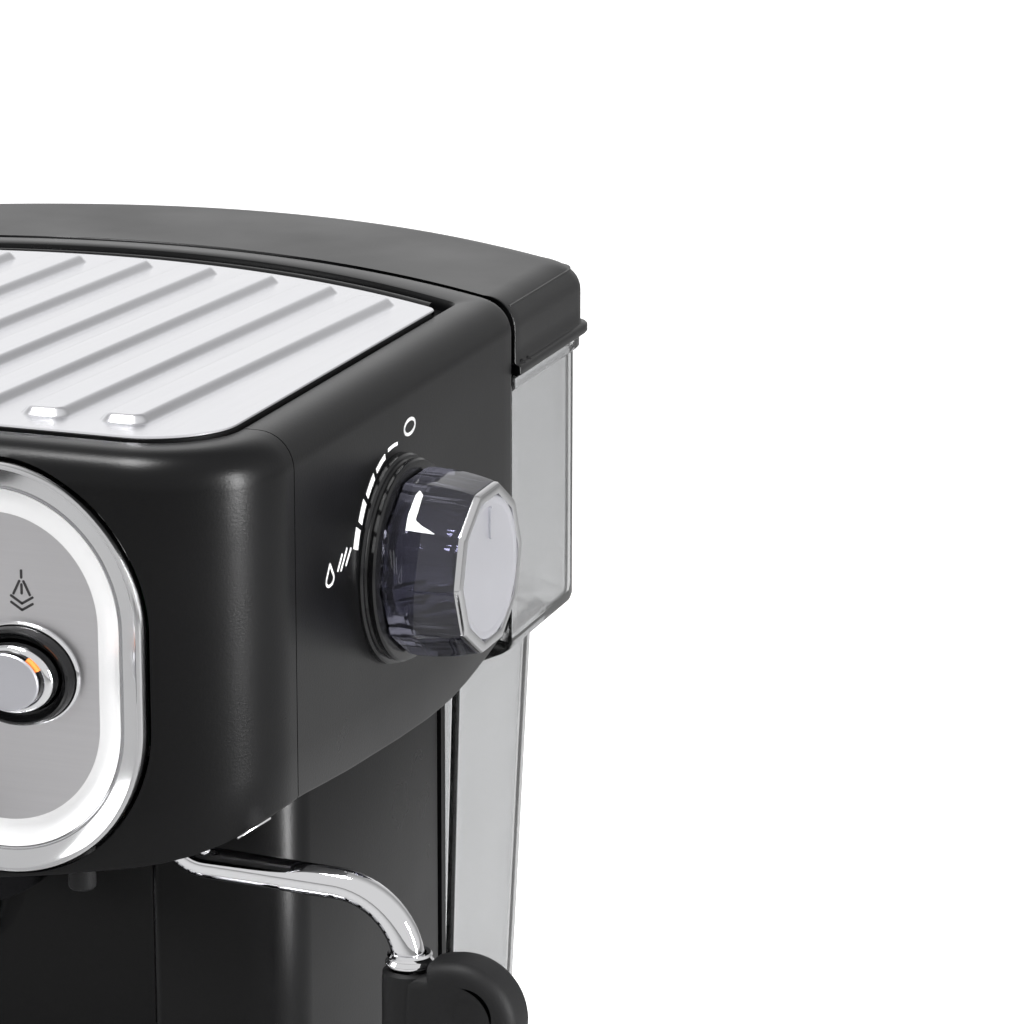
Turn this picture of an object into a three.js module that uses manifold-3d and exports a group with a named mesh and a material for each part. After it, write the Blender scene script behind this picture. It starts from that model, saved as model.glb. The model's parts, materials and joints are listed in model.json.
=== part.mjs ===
// Pump espresso machine: head over a column, drip tray in front, water tank behind.
// Millimetres, +Z up, +X to the machine's right, -Y to its front.
// The origin is on the surface it stands on, below the middle of its bounding box.
import * as THREE from 'three';
import { mergeVertices } from 'three/addons/utils/BufferGeometryUtils.js';
import Module from 'manifold-3d';

const wasm = await Module();
wasm.setup();

// ---- Driving dimensions ----------------------------------------------------------------
const gap = 0.3; // clearance between faces that touch
const halfWidth = 120; // half the head's width at its side seam
const sideLean = 0.056; // each side comes in by this much per millimetre towards the rear
const seamY = -57; // seam between the front and the side shell
const wall = 2.5; // moulded wall

const headTop = 290; // overall height
const headTall = 96; // height of the head at the middle of its front
const headRise = 13; // how much higher the head's underside is at its sides
const headSideBottom = headTop - headTall + headRise;
const headFrontBottom = headTop - headTall;
const headRearRound = 12; // rounding of the lower rear corners
const headFront = -89;
const headRear = 91; // rear edge of the head at its sides
const headBow = 35; // how far the rear edge bows back in the middle
const headCorner = 27; // plan radius of the front corners
const headFillet = 7; // rounding of the top edge

const trayFront = -75.5; // cup-warming plate
const trayRear = 72;
const trayBow = 32;
const trayInset = 13;
const trayCorner = 18;
const trayThick = 1.5;
const trayTop = headTop - 1;
const ribCount = 10;
const ribPitch = 18.6;
const ribWidth = 9;
const ribHeight = 1;
const ribEndGap = 9;

const panelHalf = 100; // front panel
const panelLow = headTop - 92.5;
const panelHigh = headTop - 3.5;
const panelCorner = 34;
const panelThick = 3;
const panelProud = 2;
const buttonZ = headTop - 49;
const buttonPitch = 71;
const buttonRadius = 9;
const ringWidth = buttonRadius + 4; // half-axes of the oval well ring
const ringHeight = buttonRadius + 1.8;
const buttonNames = ['power', 'brew', 'steam'];

const groupY = -30; // brew group axis
const bowlOuter = 35; // filter holder
const bowlInner = bowlOuter - 5.4;
const earOuter = bowlOuter + 4.8;
const earThick = 4.5;
const groupLip = bowlOuter + 1.2;
const groupGroove = earOuter + 1;
const groupOuter = groupGroove + 2.2;
const groupTop = headSideBottom - 5;
const groupLow = groupTop - 30;
const grooveLow = groupLow + 5.5;
const grooveTop = groupLow + 16.4;
const bowlTop = grooveTop - 5.4;
const bowlLow = bowlTop - 31;
const handleZ = bowlTop - 15;
const handleRadius = 13;
const spoutLow = bowlLow - 18;
const spoutSpread = 13;

const columnFront = -33;
const columnRear = 70;
const columnInset = 12;
const columnCorner = 14;
const bayHalf = 72; // recess in the column's front that the cup stands in
const bayRear = groupY + groupOuter + 4;
const bayCorner = 16;

const baseFront = -112;
const baseRear = 134;
const baseBow = 36;
const baseInset = 4;
const baseCorner = 24;
const baseLow = 8; // height of the feet
const baseTop = 58;
const baseFloor = 4;
const footRadius = 11;
const footInset = 28;
const traySplit = columnFront - 4; // rear face of the drip tray beside the bay
const trayTongue = bayRear - 4; // rear face of the drip tray inside the bay
const tongueHalf = bayHalf - 2.5;
const gridThick = 2.5;
const gridSlots = 11;
const slotPitch = 18;
const slotWidth = 5;

const lidRear = 148;
const lidBow = 38;
const lidLow = headTop - 19;
const lidFillet = 5;
const lidSkin = 2;
const lidFlange = 1.4;
const seamGap = 1.2;
const hingeOut = 3.4; // hinge axis behind the rear of the lid, at its lower edge
const hingeRadius = 2.9;
const hingeHalf = 22;
const hingeKnuckle = 12;
const pinRadius = 1.4;

const tankWall = 2.5;
const tankShoulder = headSideBottom - 3.5;
const tankLow = baseTop + 4;
const tankInset = 1.5;
const tankLowInset = 9;
const tankLowFront = columnRear + 6;
const tankLowRear = 136;
const tankTaper = 0.028; // how much the lower part draws in per millimetre of depth

const knobY = 5;
const knobZ = headTop - 42.6;
const knobRadius = 20.8;
const knobCapRadius = 18;
const knobSkirtRadius = 23.5;
const knobDepth = 18;
const stemRadius = 4;

const wandX = halfWidth - 28; // swivel axis of the steam wand
const wandY = -62;
const wandZ = headFrontBottom + 0.2; // centreline of its level run
const wandRadius = 3.5;
const wandReach = 55.7;
const wandBend = 13;
const gripTop = wandZ - 17.2;
const gripLow = gripTop - 31;
const gripRadius = 6;
const collarRadius = 5.2;
const lobeRadius = 14;
const lobeOut = 13.8; // from the tube to the middle of the thumb lobe
const lobeDrop = 8.5;
const wandLow = gripTop - 81;

// ---- Small makers ----------------------------------------------------------------------
const finish = (color, roughness, metalness, opacity = 1) =>
  new THREE.MeshStandardMaterial({ color, roughness, metalness, opacity, transparent: opacity < 1 });
const matteBlack = () => finish(0x1c1c1e, 0.55, 0);
const darkGrey = () => finish(0x3a3a3c, 0.45, 0);
const steel = () => finish(0xc9c9cb, 0.3, 1);
const chrome = () => finish(0xe4e4e8, 0.08, 1);
const clear = () => finish(0xd8dadb, 0.05, 0, 0.4);
const brass = () => finish(0xb8964a, 0.35, 1);
const rubber = () => finish(0x151515, 0.85, 0);
const boardGreen = () => finish(0x1f5a35, 0.6, 0);

const part = new THREE.Group();
const machine = new THREE.Group();
part.add(machine);

// A closed geometry as a solid that can be joined and cut.
function solid(geometry) {
  const bare = geometry.clone();
  bare.deleteAttribute('normal');
  bare.deleteAttribute('uv');
  const merged = mergeVertices(bare, 1e-4);
  return new wasm.Manifold(new wasm.Mesh({
    numProp: 3,
    vertProperties: new Float32Array(merged.attributes.position.array),
    triVerts: new Uint32Array(merged.index.array),
  }));
}

// The solid's surface as a three.js geometry.
function surface(body) {
  const made = body.getMesh();
  const geometry = new THREE.BufferGeometry();
  geometry.setAttribute('position', new THREE.BufferAttribute(new Float32Array(made.vertProperties), 3));
  geometry.setIndex(new THREE.BufferAttribute(new Uint32Array(made.triVerts), 1));
  geometry.computeVertexNormals();
  return geometry;
}

function add(name, shape, material) {
  const mesh = new THREE.Mesh(shape.isBufferGeometry ? shape : surface(shape), material);
  mesh.name = name;
  machine.add(mesh);
  return mesh;
}

// A flat outline raised from z0 to z1, with an optional rounded top and bottom edge.
function raise(outline, z0, z1, segments = 8, round = 0) {
  const geometry = new THREE.ExtrudeGeometry(outline, {
    depth: z1 - z0 - 2 * round,
    bevelEnabled: round > 0,
    bevelThickness: round,
    bevelSize: round,
    bevelOffset: -round,
    bevelSegments: 2,
    curveSegments: segments,
  });
  return solid(geometry.translate(0, 0, z0 + round));
}

// An outline in X and Z pushed along Y from y0 to y1.
function push(outline, y0, y1, segments = 8) {
  const geometry = new THREE.ExtrudeGeometry(outline, {
    depth: y1 - y0, bevelEnabled: false, curveSegments: segments,
  });
  return solid(geometry.rotateX(Math.PI / 2).translate(0, y1, 0));
}

// A profile of [radius, height] points turned about a vertical axis at x, y.
function turn(profile, x = 0, y = 0, segments = 24) {
  const points = profile.map(([r, z]) => new THREE.Vector2(r, z));
  return solid(new THREE.LatheGeometry(points, segments).rotateX(Math.PI / 2).translate(x, y, 0));
}

const disc = (radius, z0, z1, x = 0, y = 0, segments = 24) =>
  turn([[0, z0], [radius, z0], [radius, z1], [0, z1]], x, y, segments);

const hoop = (outer, inner, z0, z1, x = 0, y = 0, segments = 24) =>
  turn([[inner, z0], [outer, z0], [outer, z1], [inner, z1], [inner, z0]], x, y, segments);

// A profile of [radius, distance] turned about an axis along +X, starting at x.
function turnX(profile, x, y, z, segments = 24) {
  const points = profile.map(([r, along]) => new THREE.Vector2(r, along));
  return solid(new THREE.LatheGeometry(points, segments).rotateZ(-Math.PI / 2).translate(x, y, z));
}

// The same about an axis along +Y, or along -Y with forwards set.
function turnY(profile, x, y, z, segments = 24, forwards = false) {
  const points = profile.map(([r, along]) => new THREE.Vector2(r, along));
  const geometry = new THREE.LatheGeometry(points, segments);
  if (forwards) geometry.rotateX(Math.PI);
  return solid(geometry.translate(x, y, z));
}

const rodProfile = (radius, length) => [[0, 0], [radius, 0], [radius, length], [0, length]];

// An outline in Y and Z pushed along X from x0 to x1.
function slab(outline, x0, x1, segments = 6) {
  const geometry = new THREE.ExtrudeGeometry(outline, {
    depth: x1 - x0, bevelEnabled: false, curveSegments: segments,
  });
  const turnedRound = new THREE.Matrix4().makeBasis(
    new THREE.Vector3(0, 1, 0), new THREE.Vector3(0, 0, 1), new THREE.Vector3(1, 0, 0));
  return solid(geometry.applyMatrix4(turnedRound).translate(x0, 0, 0));
}

const block = (x0, x1, y0, y1, z0, z1) => solid(
  new THREE.BoxGeometry(x1 - x0, y1 - y0, z1 - z0)
    .translate((x0 + x1) / 2, (y0 + y1) / 2, (z0 + z1) / 2));

// A round rod along a smooth curve through the points.
function rod(points, radius, steps = 24, sides = 5) {
  const path = new THREE.CatmullRomCurve3(points.map((p) => new THREE.Vector3(...p)), false, 'centripetal');
  const section = new THREE.Shape();
  section.absarc(0, 0, radius, 0, 2 * Math.PI);
  return solid(new THREE.ExtrudeGeometry(section, {
    steps, extrudePath: path, curveSegments: sides, bevelEnabled: false,
  }));
}

const sideX = (y, inset) => halfWidth - (y - seamY) * sideLean - inset;

// The machine's plan: rounded front corners, sides that lean in, a rear edge that bows back.
function plan({ front, rear, bow, inset = 0, corner }) {
  const outline = new THREE.Shape();
  const xFront = sideX(front + corner, inset);
  const xRear = sideX(rear, inset);
  outline.moveTo(-xFront + corner, front);
  outline.lineTo(xFront - corner, front);
  outline.quadraticCurveTo(xFront - corner * 0.25, front + corner * 0.03,
    xFront - corner * 0.09, front + corner * 0.42);
  outline.quadraticCurveTo(xFront, front + corner * 0.62, xFront, front + corner);
  outline.lineTo(xRear, rear);
  if (bow > 0) outline.quadraticCurveTo(0, rear + 2 * bow, -xRear, rear);
  else outline.lineTo(-xRear, rear);
  outline.lineTo(-xFront, front + corner);
  outline.quadraticCurveTo(-xFront, front + corner * 0.62, -xFront + corner * 0.09, front + corner * 0.42);
  outline.quadraticCurveTo(-xFront + corner * 0.25, front + corner * 0.03, -xFront + corner, front);
  return outline;
}

// The plan of what stands behind the head: its front follows the head's bowed rear edge.
function rearPlan({ front, frontBow, rear, bow, inset = 0, corner = 9 }) {
  const outline = new THREE.Shape();
  const xFront = sideX(front, inset);
  const xRear = sideX(rear, inset);
  outline.moveTo(xFront, front);
  outline.lineTo(xRear, rear - corner);
  outline.quadraticCurveTo(xRear, rear + corner * 0.4, xRear - corner, rear + corner * 0.75);
  outline.quadraticCurveTo(0, rear + 2 * bow - corner * 0.75, -xRear + corner, rear + corner * 0.75);
  outline.quadraticCurveTo(-xRear, rear + corner * 0.4, -xRear, rear - corner);
  outline.lineTo(-xFront, front);
  if (frontBow > 0) outline.quadraticCurveTo(0, front + 2 * frontBow, xFront, front);
  return outline;
}

// A rectangle with rounded corners, centred at x, y.
function rounded(x, y, width, height, radius) {
  const [l, r, b, t] = [x - width / 2, x + width / 2, y - height / 2, y + height / 2];
  const outline = new THREE.Shape();
  outline.moveTo(l + radius, b);
  outline.lineTo(r - radius, b);
  outline.absarc(r - radius, b + radius, radius, -Math.PI / 2, 0);
  outline.lineTo(r, t - radius);
  outline.absarc(r - radius, t - radius, radius, 0, Math.PI / 2);
  outline.lineTo(l + radius, t);
  outline.absarc(l + radius, t - radius, radius, Math.PI / 2, Math.PI);
  outline.lineTo(l, b + radius);
  outline.absarc(l + radius, b + radius, radius, Math.PI, Math.PI * 1.5);
  return outline;
}

function oval(x, y, halfX, halfY) {
  const outline = new THREE.Shape();
  outline.absellipse(x, y, halfX, halfY, 0, 2 * Math.PI);
  return outline;
}

// ---- Head ------------------------------------------------------------------------------
const headPlan = { front: headFront, rear: headRear, bow: headBow, corner: headCorner };
const within = (shape, by) => ({
  ...shape,
  front: shape.front + by,
  rear: shape.rear - by,
  inset: (shape.inset ?? 0) + by,
  corner: shape.corner - by,
});
const trayPlan = {
  front: trayFront, rear: trayRear, bow: trayBow, inset: trayInset, corner: trayCorner,
};

// The lower edge seen from the front: level in the middle, rising towards the sides.
function headUnderside() {
  const outline = new THREE.Shape();
  const flat = panelHalf * 0.62;
  outline.moveTo(-200, 100);
  outline.lineTo(200, 100);
  outline.lineTo(200, headSideBottom + 6);
  outline.lineTo(halfWidth + 4, headSideBottom + 5);
  outline.quadraticCurveTo(panelHalf, headFrontBottom, flat, headFrontBottom);
  outline.lineTo(-flat, headFrontBottom);
  outline.quadraticCurveTo(-panelHalf, headFrontBottom, -halfWidth - 4, headSideBottom + 5);
  outline.lineTo(-200, headSideBottom + 6);
  return push(outline, headFront - 20, seamY + 1, 6);
}

const headOuter = raise(plan(headPlan), headFrontBottom - headFillet, headTop, 6, headFillet);
const headInner = raise(plan(within(headPlan, wall)), headFrontBottom - 20, headTop - 4, 5);
const headHollow = headOuter.subtract(headInner);
const trayHole = raise(plan(within(trayPlan, 4)), headTop - 20, headTop + 5, 4);
const trayRecess = raise(plan(within(trayPlan, -gap)), trayTop - trayThick - gap, headTop + 5, 5);
const headOpen = headHollow.subtract(trayHole).subtract(trayRecess);

const panelMiddle = (panelLow + panelHigh) / 2;
const panelHeight = panelHigh - panelLow;
const panelOutline = (by) =>
  rounded(0, panelMiddle, 2 * (panelHalf + by), panelHeight + 2 * by, panelCorner + by);
const panelBack = headFront - panelProud + panelThick;
const panelHole = push(panelOutline(-4), headFront - 10, headFront + 20, 5);
const panelSeat = push(panelOutline(gap), headFront - 10, panelBack + gap, 6);
const frontHalf = block(-200, 200, headFront - 30, seamY - gap / 2, 100, 400);
add('head_front_shell', headOpen.intersect(frontHalf).subtract(headUnderside())
  .subtract(panelHole).subtract(panelSeat), matteBlack());

const sideHalf = block(-200, 200, seamY + gap / 2, 200, headSideBottom, 400);
const valveHole = turnX(rodProfile(stemRadius + 3, 30), halfWidth - 20, knobY, knobZ, 20);

// What rounds off the lower rear corner of the head on one side.
function rearCornerCut(side) {
  const outline = new THREE.Shape();
  outline.moveTo(headRear - headRearRound, headSideBottom - 20);
  outline.lineTo(headRear + 30, headSideBottom - 20);
  outline.lineTo(headRear + 30, headSideBottom + headRearRound);
  outline.lineTo(headRear, headSideBottom + headRearRound);
  outline.quadraticCurveTo(headRear, headSideBottom, headRear - headRearRound, headSideBottom);
  const inner = side * (halfWidth - 22);
  const outer = side * (halfWidth + 20);
  return slab(outline, Math.min(inner, outer), Math.max(inner, outer));
}
add('head_side_shell', headOpen.intersect(sideHalf).subtract(valveHole)
  .subtract(rearCornerCut(1)).subtract(rearCornerCut(-1)), matteBlack());

const underLow = headSideBottom + 1;
const underThick = 3;
const wandHole = disc(8.4, underLow - 5, underLow + 10, wandX, wandY, 20);
const groupHole = disc(groupOuter + 1, underLow - 5, underLow + 10, 0, groupY);
const pipeHole = block(-45, 45, bayRear + 6, columnRear - 6, underLow - 5, underLow + 10);
const underPlan = { ...within(headPlan, wall + gap), rear: headRear - headRearRound - wall };
add('head_underplate',
  raise(plan(underPlan), underLow, underLow + underThick, 6)
    .subtract(groupHole).subtract(pipeHole).subtract(wandHole),
  matteBlack());

// ---- Cup-warming plate -------------------------------------------------------------------
function cupPlate() {
  let body = raise(plan(trayPlan), trayTop - trayThick, trayTop, 5);
  for (let i = 0; i < ribCount; i += 1) {
    const x = (i - (ribCount - 1) / 2) * ribPitch;
    const half = sideX(trayRear, trayInset);
    const rear = trayRear + trayBow * (1 - (x / half) ** 2) - ribEndGap;
    const front = trayFront + ribEndGap + 2;
    const bar = rounded(x, (front + rear) / 2, ribWidth, rear - front, ribWidth / 2 - 0.01);
    body = body.add(raise(bar, trayTop - 0.5, trayTop + ribHeight, 2));
  }
  return body;
}
add('cup_warmer_plate', cupPlate(), steel());

// ---- Front panel and buttons -------------------------------------------------------------
const buttonX = (i) => (i - 1) * buttonPitch;
let panelBody = push(panelOutline(0), headFront - panelProud, panelBack, 6);
for (let i = 0; i < 3; i += 1) {
  const hole = oval(buttonX(i), buttonZ, ringWidth - 1.5, ringHeight - 1.5);
  panelBody = panelBody.subtract(push(hole, headFront - 10, headFront + 10, 9));
}
add('front_panel', panelBody, steel());

buttonNames.forEach((name, i) => {
  const x = buttonX(i);
  const ringFront = headFront - panelProud - gap;
  const flange = oval(x, buttonZ, ringWidth, ringHeight);
  const sleeve = oval(x, buttonZ, ringWidth - 1.5 - gap, ringHeight - 1.5 - gap);
  const bore = oval(x, buttonZ, buttonRadius + 0.5, buttonRadius + 0.2);
  add(`${name}_button_ring`,
    push(flange, ringFront - 1.5, ringFront, 9)
      .add(push(sleeve, ringFront - 1, headFront + 8, 9))
      .subtract(push(bore, ringFront - 10, headFront + 20, 9)),
    matteBlack());
  const cap = [[0, 0], [buttonRadius - 2, 0], [buttonRadius, 2], [buttonRadius, 17], [0, 17]];
  const capFront = headFront - panelProud - 5;
  add(`${name}_button`, turnY(cap, x, capFront, buttonZ), chrome());
});
const boardY = headFront + 16; // just in front of the boiler
add('control_board', block(-buttonPitch - 22, buttonPitch + 22, boardY, boardY + 1.6,
  buttonZ - 18, buttonZ + 22), boardGreen());

// ---- Column and base ---------------------------------------------------------------------
const columnPlan = { front: columnFront, rear: columnRear, bow: 0, inset: columnInset,
  corner: columnCorner };
const columnLow = baseTop + gap;
const columnHigh = underLow - gap;
const bay = (grow, z0, z1) =>
  raise(rounded(0, columnFront - 40 + (bayRear - columnFront + 40) / 2, 2 * (bayHalf + grow),
    bayRear - columnFront + 40 + 2 * grow, bayCorner + grow), z0, z1, 4);
const columnOuter = raise(plan(columnPlan), columnLow, columnHigh, 6).subtract(bay(0, 0, 400));
const columnCore = raise(plan({ ...within(columnPlan, wall), rear: columnRear + 5 }), 0, 400, 5)
  .subtract(bay(wall, -10, 410));
add('column_shell', columnOuter.subtract(columnCore), matteBlack());

const columnHalf = sideX(columnRear, columnInset);
const columnBackY = columnRear + gap;
const spigotZ = tankLow + 16;
const spigotHole = turnY(rodProfile(6, 20), 0, columnBackY - 5, spigotZ, 20);
add('column_back_panel',
  block(-columnHalf, columnHalf, columnBackY, columnBackY + wall, columnLow, columnHigh)
    .subtract(spigotHole), matteBlack());

const basePlan = { front: baseFront, rear: baseRear, bow: baseBow, inset: baseInset, corner: baseCorner };
const trayRegion = (grow, z0, z1) => block(-200, 200, -200, traySplit + grow, z0, z1)
  .add(block(-tongueHalf - grow, tongueHalf + grow, -200, trayTongue + grow, z0, z1));
const pipeWay = block(-30, 30, bayRear + 6, columnRear - 8, baseTop - 10, baseTop + 10);
const rearPart = (grow, z0, z1) => raise(plan(within(basePlan, grow)), z0, z1, 6)
  .subtract(trayRegion(gap + grow, z0 - 5, z1 + 5));
add('base_housing', raise(plan(basePlan), baseLow, baseTop, 7)
  .subtract(trayRegion(gap, baseLow + baseFloor, 100))
  .subtract(rearPart(3, baseLow - 5, baseTop - 3)).subtract(pipeWay), matteBlack());
add('base_underplate', rearPart(3 + gap, baseLow, baseLow + 2.5), darkGrey());

const footRows = { front: baseFront + footInset - 4, rear: baseRear - footInset + 8 };
for (const [row, y] of Object.entries(footRows)) {
  for (const [hand, side] of [['left', -1], ['right', 1]]) {
    const x = side * (sideX(y, baseInset) - footInset);
    add(`foot_${row}_${hand}`, turn([[0, 0], [footRadius - 2, 0], [footRadius, 1.5],
      [footRadius, baseLow - gap], [0, baseLow - gap]], x, y, 24), rubber());
  }
}

// ---- Drip tray and grid ------------------------------------------------------------------
const dripLow = baseLow + baseFloor + gap;
const gridLow = baseTop - gridThick;
const dripPart = (grow, z0, z1) => raise(plan(within(basePlan, grow)), z0, z1, 6)
  .intersect(trayRegion(-grow, z0 - 5, z1 + 5));
add('drip_tray', dripPart(0, dripLow, baseTop)
  .subtract(dripPart(6, dripLow + 3, baseTop + 5))
  .subtract(dripPart(3, gridLow - gap, baseTop + 5)), matteBlack());

let gridBody = dripPart(3 + gap, gridLow, baseTop);
for (let i = 0; i < gridSlots; i += 1) {
  const x = (i - (gridSlots - 1) / 2) * slotPitch;
  const front = baseFront + 14;
  const rear = Math.abs(x) < tongueHalf - 10 ? trayTongue - 14 : traySplit - 12;
  const slot = rounded(x, (front + rear) / 2, slotWidth, rear - front, slotWidth / 2 - 0.1);
  gridBody = gridBody.subtract(raise(slot, gridLow - 5, baseTop + 5, 1));
}
add('drip_grid', gridBody, steel());

// ---- Water tank and lid ------------------------------------------------------------------
const seamFront = headRear + seamGap;
const lidPlan = { front: seamFront, frontBow: headBow, rear: lidRear, bow: lidBow };
const tankTop = lidLow - gap;
const shrink = (shape, by) => ({
  ...shape,
  front: shape.front + by,
  rear: shape.rear - by,
  inset: (shape.inset ?? 0) + by,
});

// Draws a solid in towards the middle of the tank below the shoulder.
function drawnIn(shape, z0, z1) {
  const geometry = new THREE.ExtrudeGeometry(shape, {
    depth: z1 - z0, bevelEnabled: false, curveSegments: 6,
  });
  geometry.translate(0, 0, z0);
  const spots = geometry.attributes.position;
  for (let i = 0; i < spots.count; i += 1) {
    const depth = (tankShoulder - spots.getZ(i)) * tankTaper;
    const rearness = (spots.getY(i) - tankLowFront) / (tankLowRear - tankLowFront);
    spots.setX(i, spots.getX(i) * (1 - depth / 100));
    spots.setY(i, spots.getY(i) - depth * 2.4 * Math.max(rearness, 0));
  }
  return solid(geometry);
}

const tankUpperPlan = shrink(lidPlan, tankInset);
const tankLowerPlan = {
  front: tankLowFront, frontBow: 0, rear: tankLowRear, bow: lidBow - 2, inset: tankLowInset,
};
const tankNeck = headSideBottom - 0.8; // top of the lower part, just below the head
const tankUpper = raise(rearPlan(tankUpperPlan), tankShoulder, tankTop, 6);
const tankUpperCore = raise(rearPlan(shrink(tankUpperPlan, tankWall)),
  tankShoulder + tankWall, tankTop + 5, 6);
const tankLower = drawnIn(rearPlan(tankLowerPlan), tankLow, tankNeck);
const tankLowerCorePlan = shrink(tankLowerPlan, tankWall);
const tankCoreFront = seamFront + 5;
const tankLowerCore = drawnIn(rearPlan(tankLowerCorePlan), tankLow + tankWall, tankNeck - tankWall)
  .add(drawnIn(rearPlan({ ...tankLowerCorePlan, front: tankCoreFront, frontBow: headBow }),
    tankShoulder - 20, tankShoulder + tankWall + 1));
const outletHole = turnY(rodProfile(4, 20), 0, tankLowFront - 8, spigotZ, 16);
const hingeY = lidRear + lidBow + hingeOut;
const hingeZ = lidLow;
const barrel = (x0, x1, z0) => turnX(rodProfile(hingeRadius, x1 - x0), x0, hingeY, hingeZ, 16)
  .add(block(x0, x1, hingeY - hingeOut - 4, hingeY, z0, z0 + 2.4));
const pinHole = turnX(rodProfile(pinRadius + gap, 2 * hingeHalf + 20), -hingeHalf - 10, hingeY, hingeZ, 12);
const insideTank = raise(rearPlan(shrink(tankUpperPlan, tankWall)), tankTop - 20, tankTop + 20, 7);
const tankKnuckles = barrel(hingeKnuckle, hingeHalf, hingeZ - 2.9)
  .add(barrel(-hingeHalf, -hingeKnuckle, hingeZ - 2.9)).subtract(insideTank);
add('water_tank', tankUpper.add(tankLower).subtract(tankUpperCore).subtract(tankLowerCore)
  .add(tankKnuckles).subtract(pinHole).subtract(outletHole), clear());

const lidOuter = raise(rearPlan(lidPlan), lidLow - 2 * lidFillet, headTop, 7, lidFillet)
  .intersect(block(-200, 200, 0, 300, lidLow, headTop + 1))
  .add(raise(rearPlan({ ...shrink(lidPlan, -lidFlange), front: seamFront }), lidLow, lidLow + 2.5, 7));
const lidCore = raise(rearPlan(shrink(lidPlan, lidSkin)), lidLow - 5, headTop - lidSkin, 7);
const knuckleSlots = [1, -1].map((side) => {
  const inner = side * (hingeKnuckle - gap);
  const outer = side * (hingeHalf + gap);
  const [x0, x1] = [Math.min(inner, outer), Math.max(inner, outer)];
  return turnX(rodProfile(hingeRadius + gap, x1 - x0), x0, hingeY, hingeZ, 16)
    .add(block(x0, x1, hingeY - 9, hingeY, hingeZ - 5, hingeZ + gap));
});
const knuckleHalf = hingeKnuckle - gap;
const lidKnuckle = turnX(rodProfile(hingeRadius, 2 * knuckleHalf), -knuckleHalf, hingeY, hingeZ, 16)
  .add(block(-knuckleHalf, knuckleHalf, hingeY - hingeOut - 1.5, hingeY, hingeZ + 0.4, hingeZ + 2.8));
add('tank_lid', lidOuter.subtract(lidCore).subtract(knuckleSlots[0]).subtract(knuckleSlots[1])
  .add(lidKnuckle).subtract(pinHole), darkGrey());
add('lid_hinge_pin', turnX(rodProfile(pinRadius, 2 * hingeHalf), -hingeHalf, hingeY, hingeZ, 12), steel());

const valveY = columnBackY + wall;
add('tank_valve', turnY([[0, 0], [3.6, 0], [3.6, 3.4], [7, 3.4], [7, 9], [0, 9]], 0,
  tankLowFront - 0.4, spigotZ, 20),
  rubber());
add('tank_spigot', turnY([[0, 0], [3, 0], [3, 8], [5.6, 8], [5.6, 15.2], [0, 15.2]], 0,
  valveY - 13, spigotZ, 20),
  brass());

// ---- Brew group and filter holder ----------------------------------------------------------
const sector = (from, to, outer, z0, z1) => {
  const outline = new THREE.Shape();
  outline.moveTo(0, groupY);
  outline.absarc(0, groupY, outer, from, to);
  outline.lineTo(0, groupY);
  return raise(outline, z0, z1, 8);
};
const deg = Math.PI / 180;
const earSpan = 22 * deg;
let groupBody = turn([
  [0, grooveTop], [groupGroove, grooveTop], [groupGroove, grooveLow], [groupLip, grooveLow],
  [groupLip, groupLow], [groupOuter, groupLow], [groupOuter, groupTop], [0, groupTop],
], 0, groupY, 32);
for (const at of [0, 180]) {
  const middle = (at - 45) * deg;
  groupBody = groupBody.subtract(
    sector(middle - earSpan - 3 * deg, middle + earSpan + 3 * deg, groupGroove, groupLow - 2, grooveLow + 1)
      .subtract(disc(20, 0, 300, 0, groupY)));
}
add('group_head', groupBody, finish(0x2a2a2c, 0.4, 0.2));
add('group_gasket', hoop(bowlOuter + 1, bowlInner + 0.4, bowlTop + 1.9, grooveTop - gap, 0,
  groupY), rubber());
add('shower_screen', disc(bowlInner - 2.1, bowlTop + 2.4, grooveTop - gap, 0, groupY), steel());
add('shower_screw', disc(4.2, bowlTop + 0.4, bowlTop + 2.1, 0, groupY, 16), steel());

let bowl = turn([
  [4, bowlLow + 4], [4, bowlLow], [12, bowlLow], [bowlOuter - 4, bowlLow + 5], [bowlOuter, bowlLow + 14],
  [bowlOuter, bowlTop], [bowlInner, bowlTop], [bowlInner, bowlLow + 8], [4, bowlLow + 4],
], 0, groupY, 32);
for (const at of [0, 180]) {
  bowl = bowl.add(sector(at * deg - earSpan, at * deg + earSpan, earOuter, bowlTop - earThick, bowlTop)
    .subtract(disc(bowlInner + 2, 0, 300, 0, groupY)));
}
const neckEnd = groupY - bowlOuter - 14;
bowl = bowl.add(block(-7, 7, neckEnd, groupY - bowlOuter + 2, handleZ - 5, handleZ + 3));
add('filter_holder', bowl, chrome());
const basketTop = bowlTop + 1.3;
const basketOuter = bowlInner - gap;
add('filter_basket', turn([
  [0, bowlLow + 9], [basketOuter - 3, bowlLow + 9], [basketOuter, bowlLow + 12], [basketOuter,
    bowlTop + gap],
  [bowlOuter - 1, bowlTop + gap], [bowlOuter - 1, basketTop], [basketOuter - 1, basketTop],
    [basketOuter - 1, bowlLow + 12.4],
  [basketOuter - 3.4, bowlLow + 10], [0, bowlLow + 10],
], 0, groupY, 28), steel());

function spout() {
  let body = disc(9, bowlLow - 6, bowlLow - gap, 0, groupY, 24);
  for (const side of [-1, 1]) {
    body = body.add(rod([[0, groupY, bowlLow - 4], [side * 6, groupY, bowlLow - 6.5],
      [side * spoutSpread, groupY, bowlLow - 11], [side * spoutSpread, groupY, spoutLow]], 4.5, 8, 5));
  }
  return body;
}
add('twin_spout', spout(), chrome());

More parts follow.
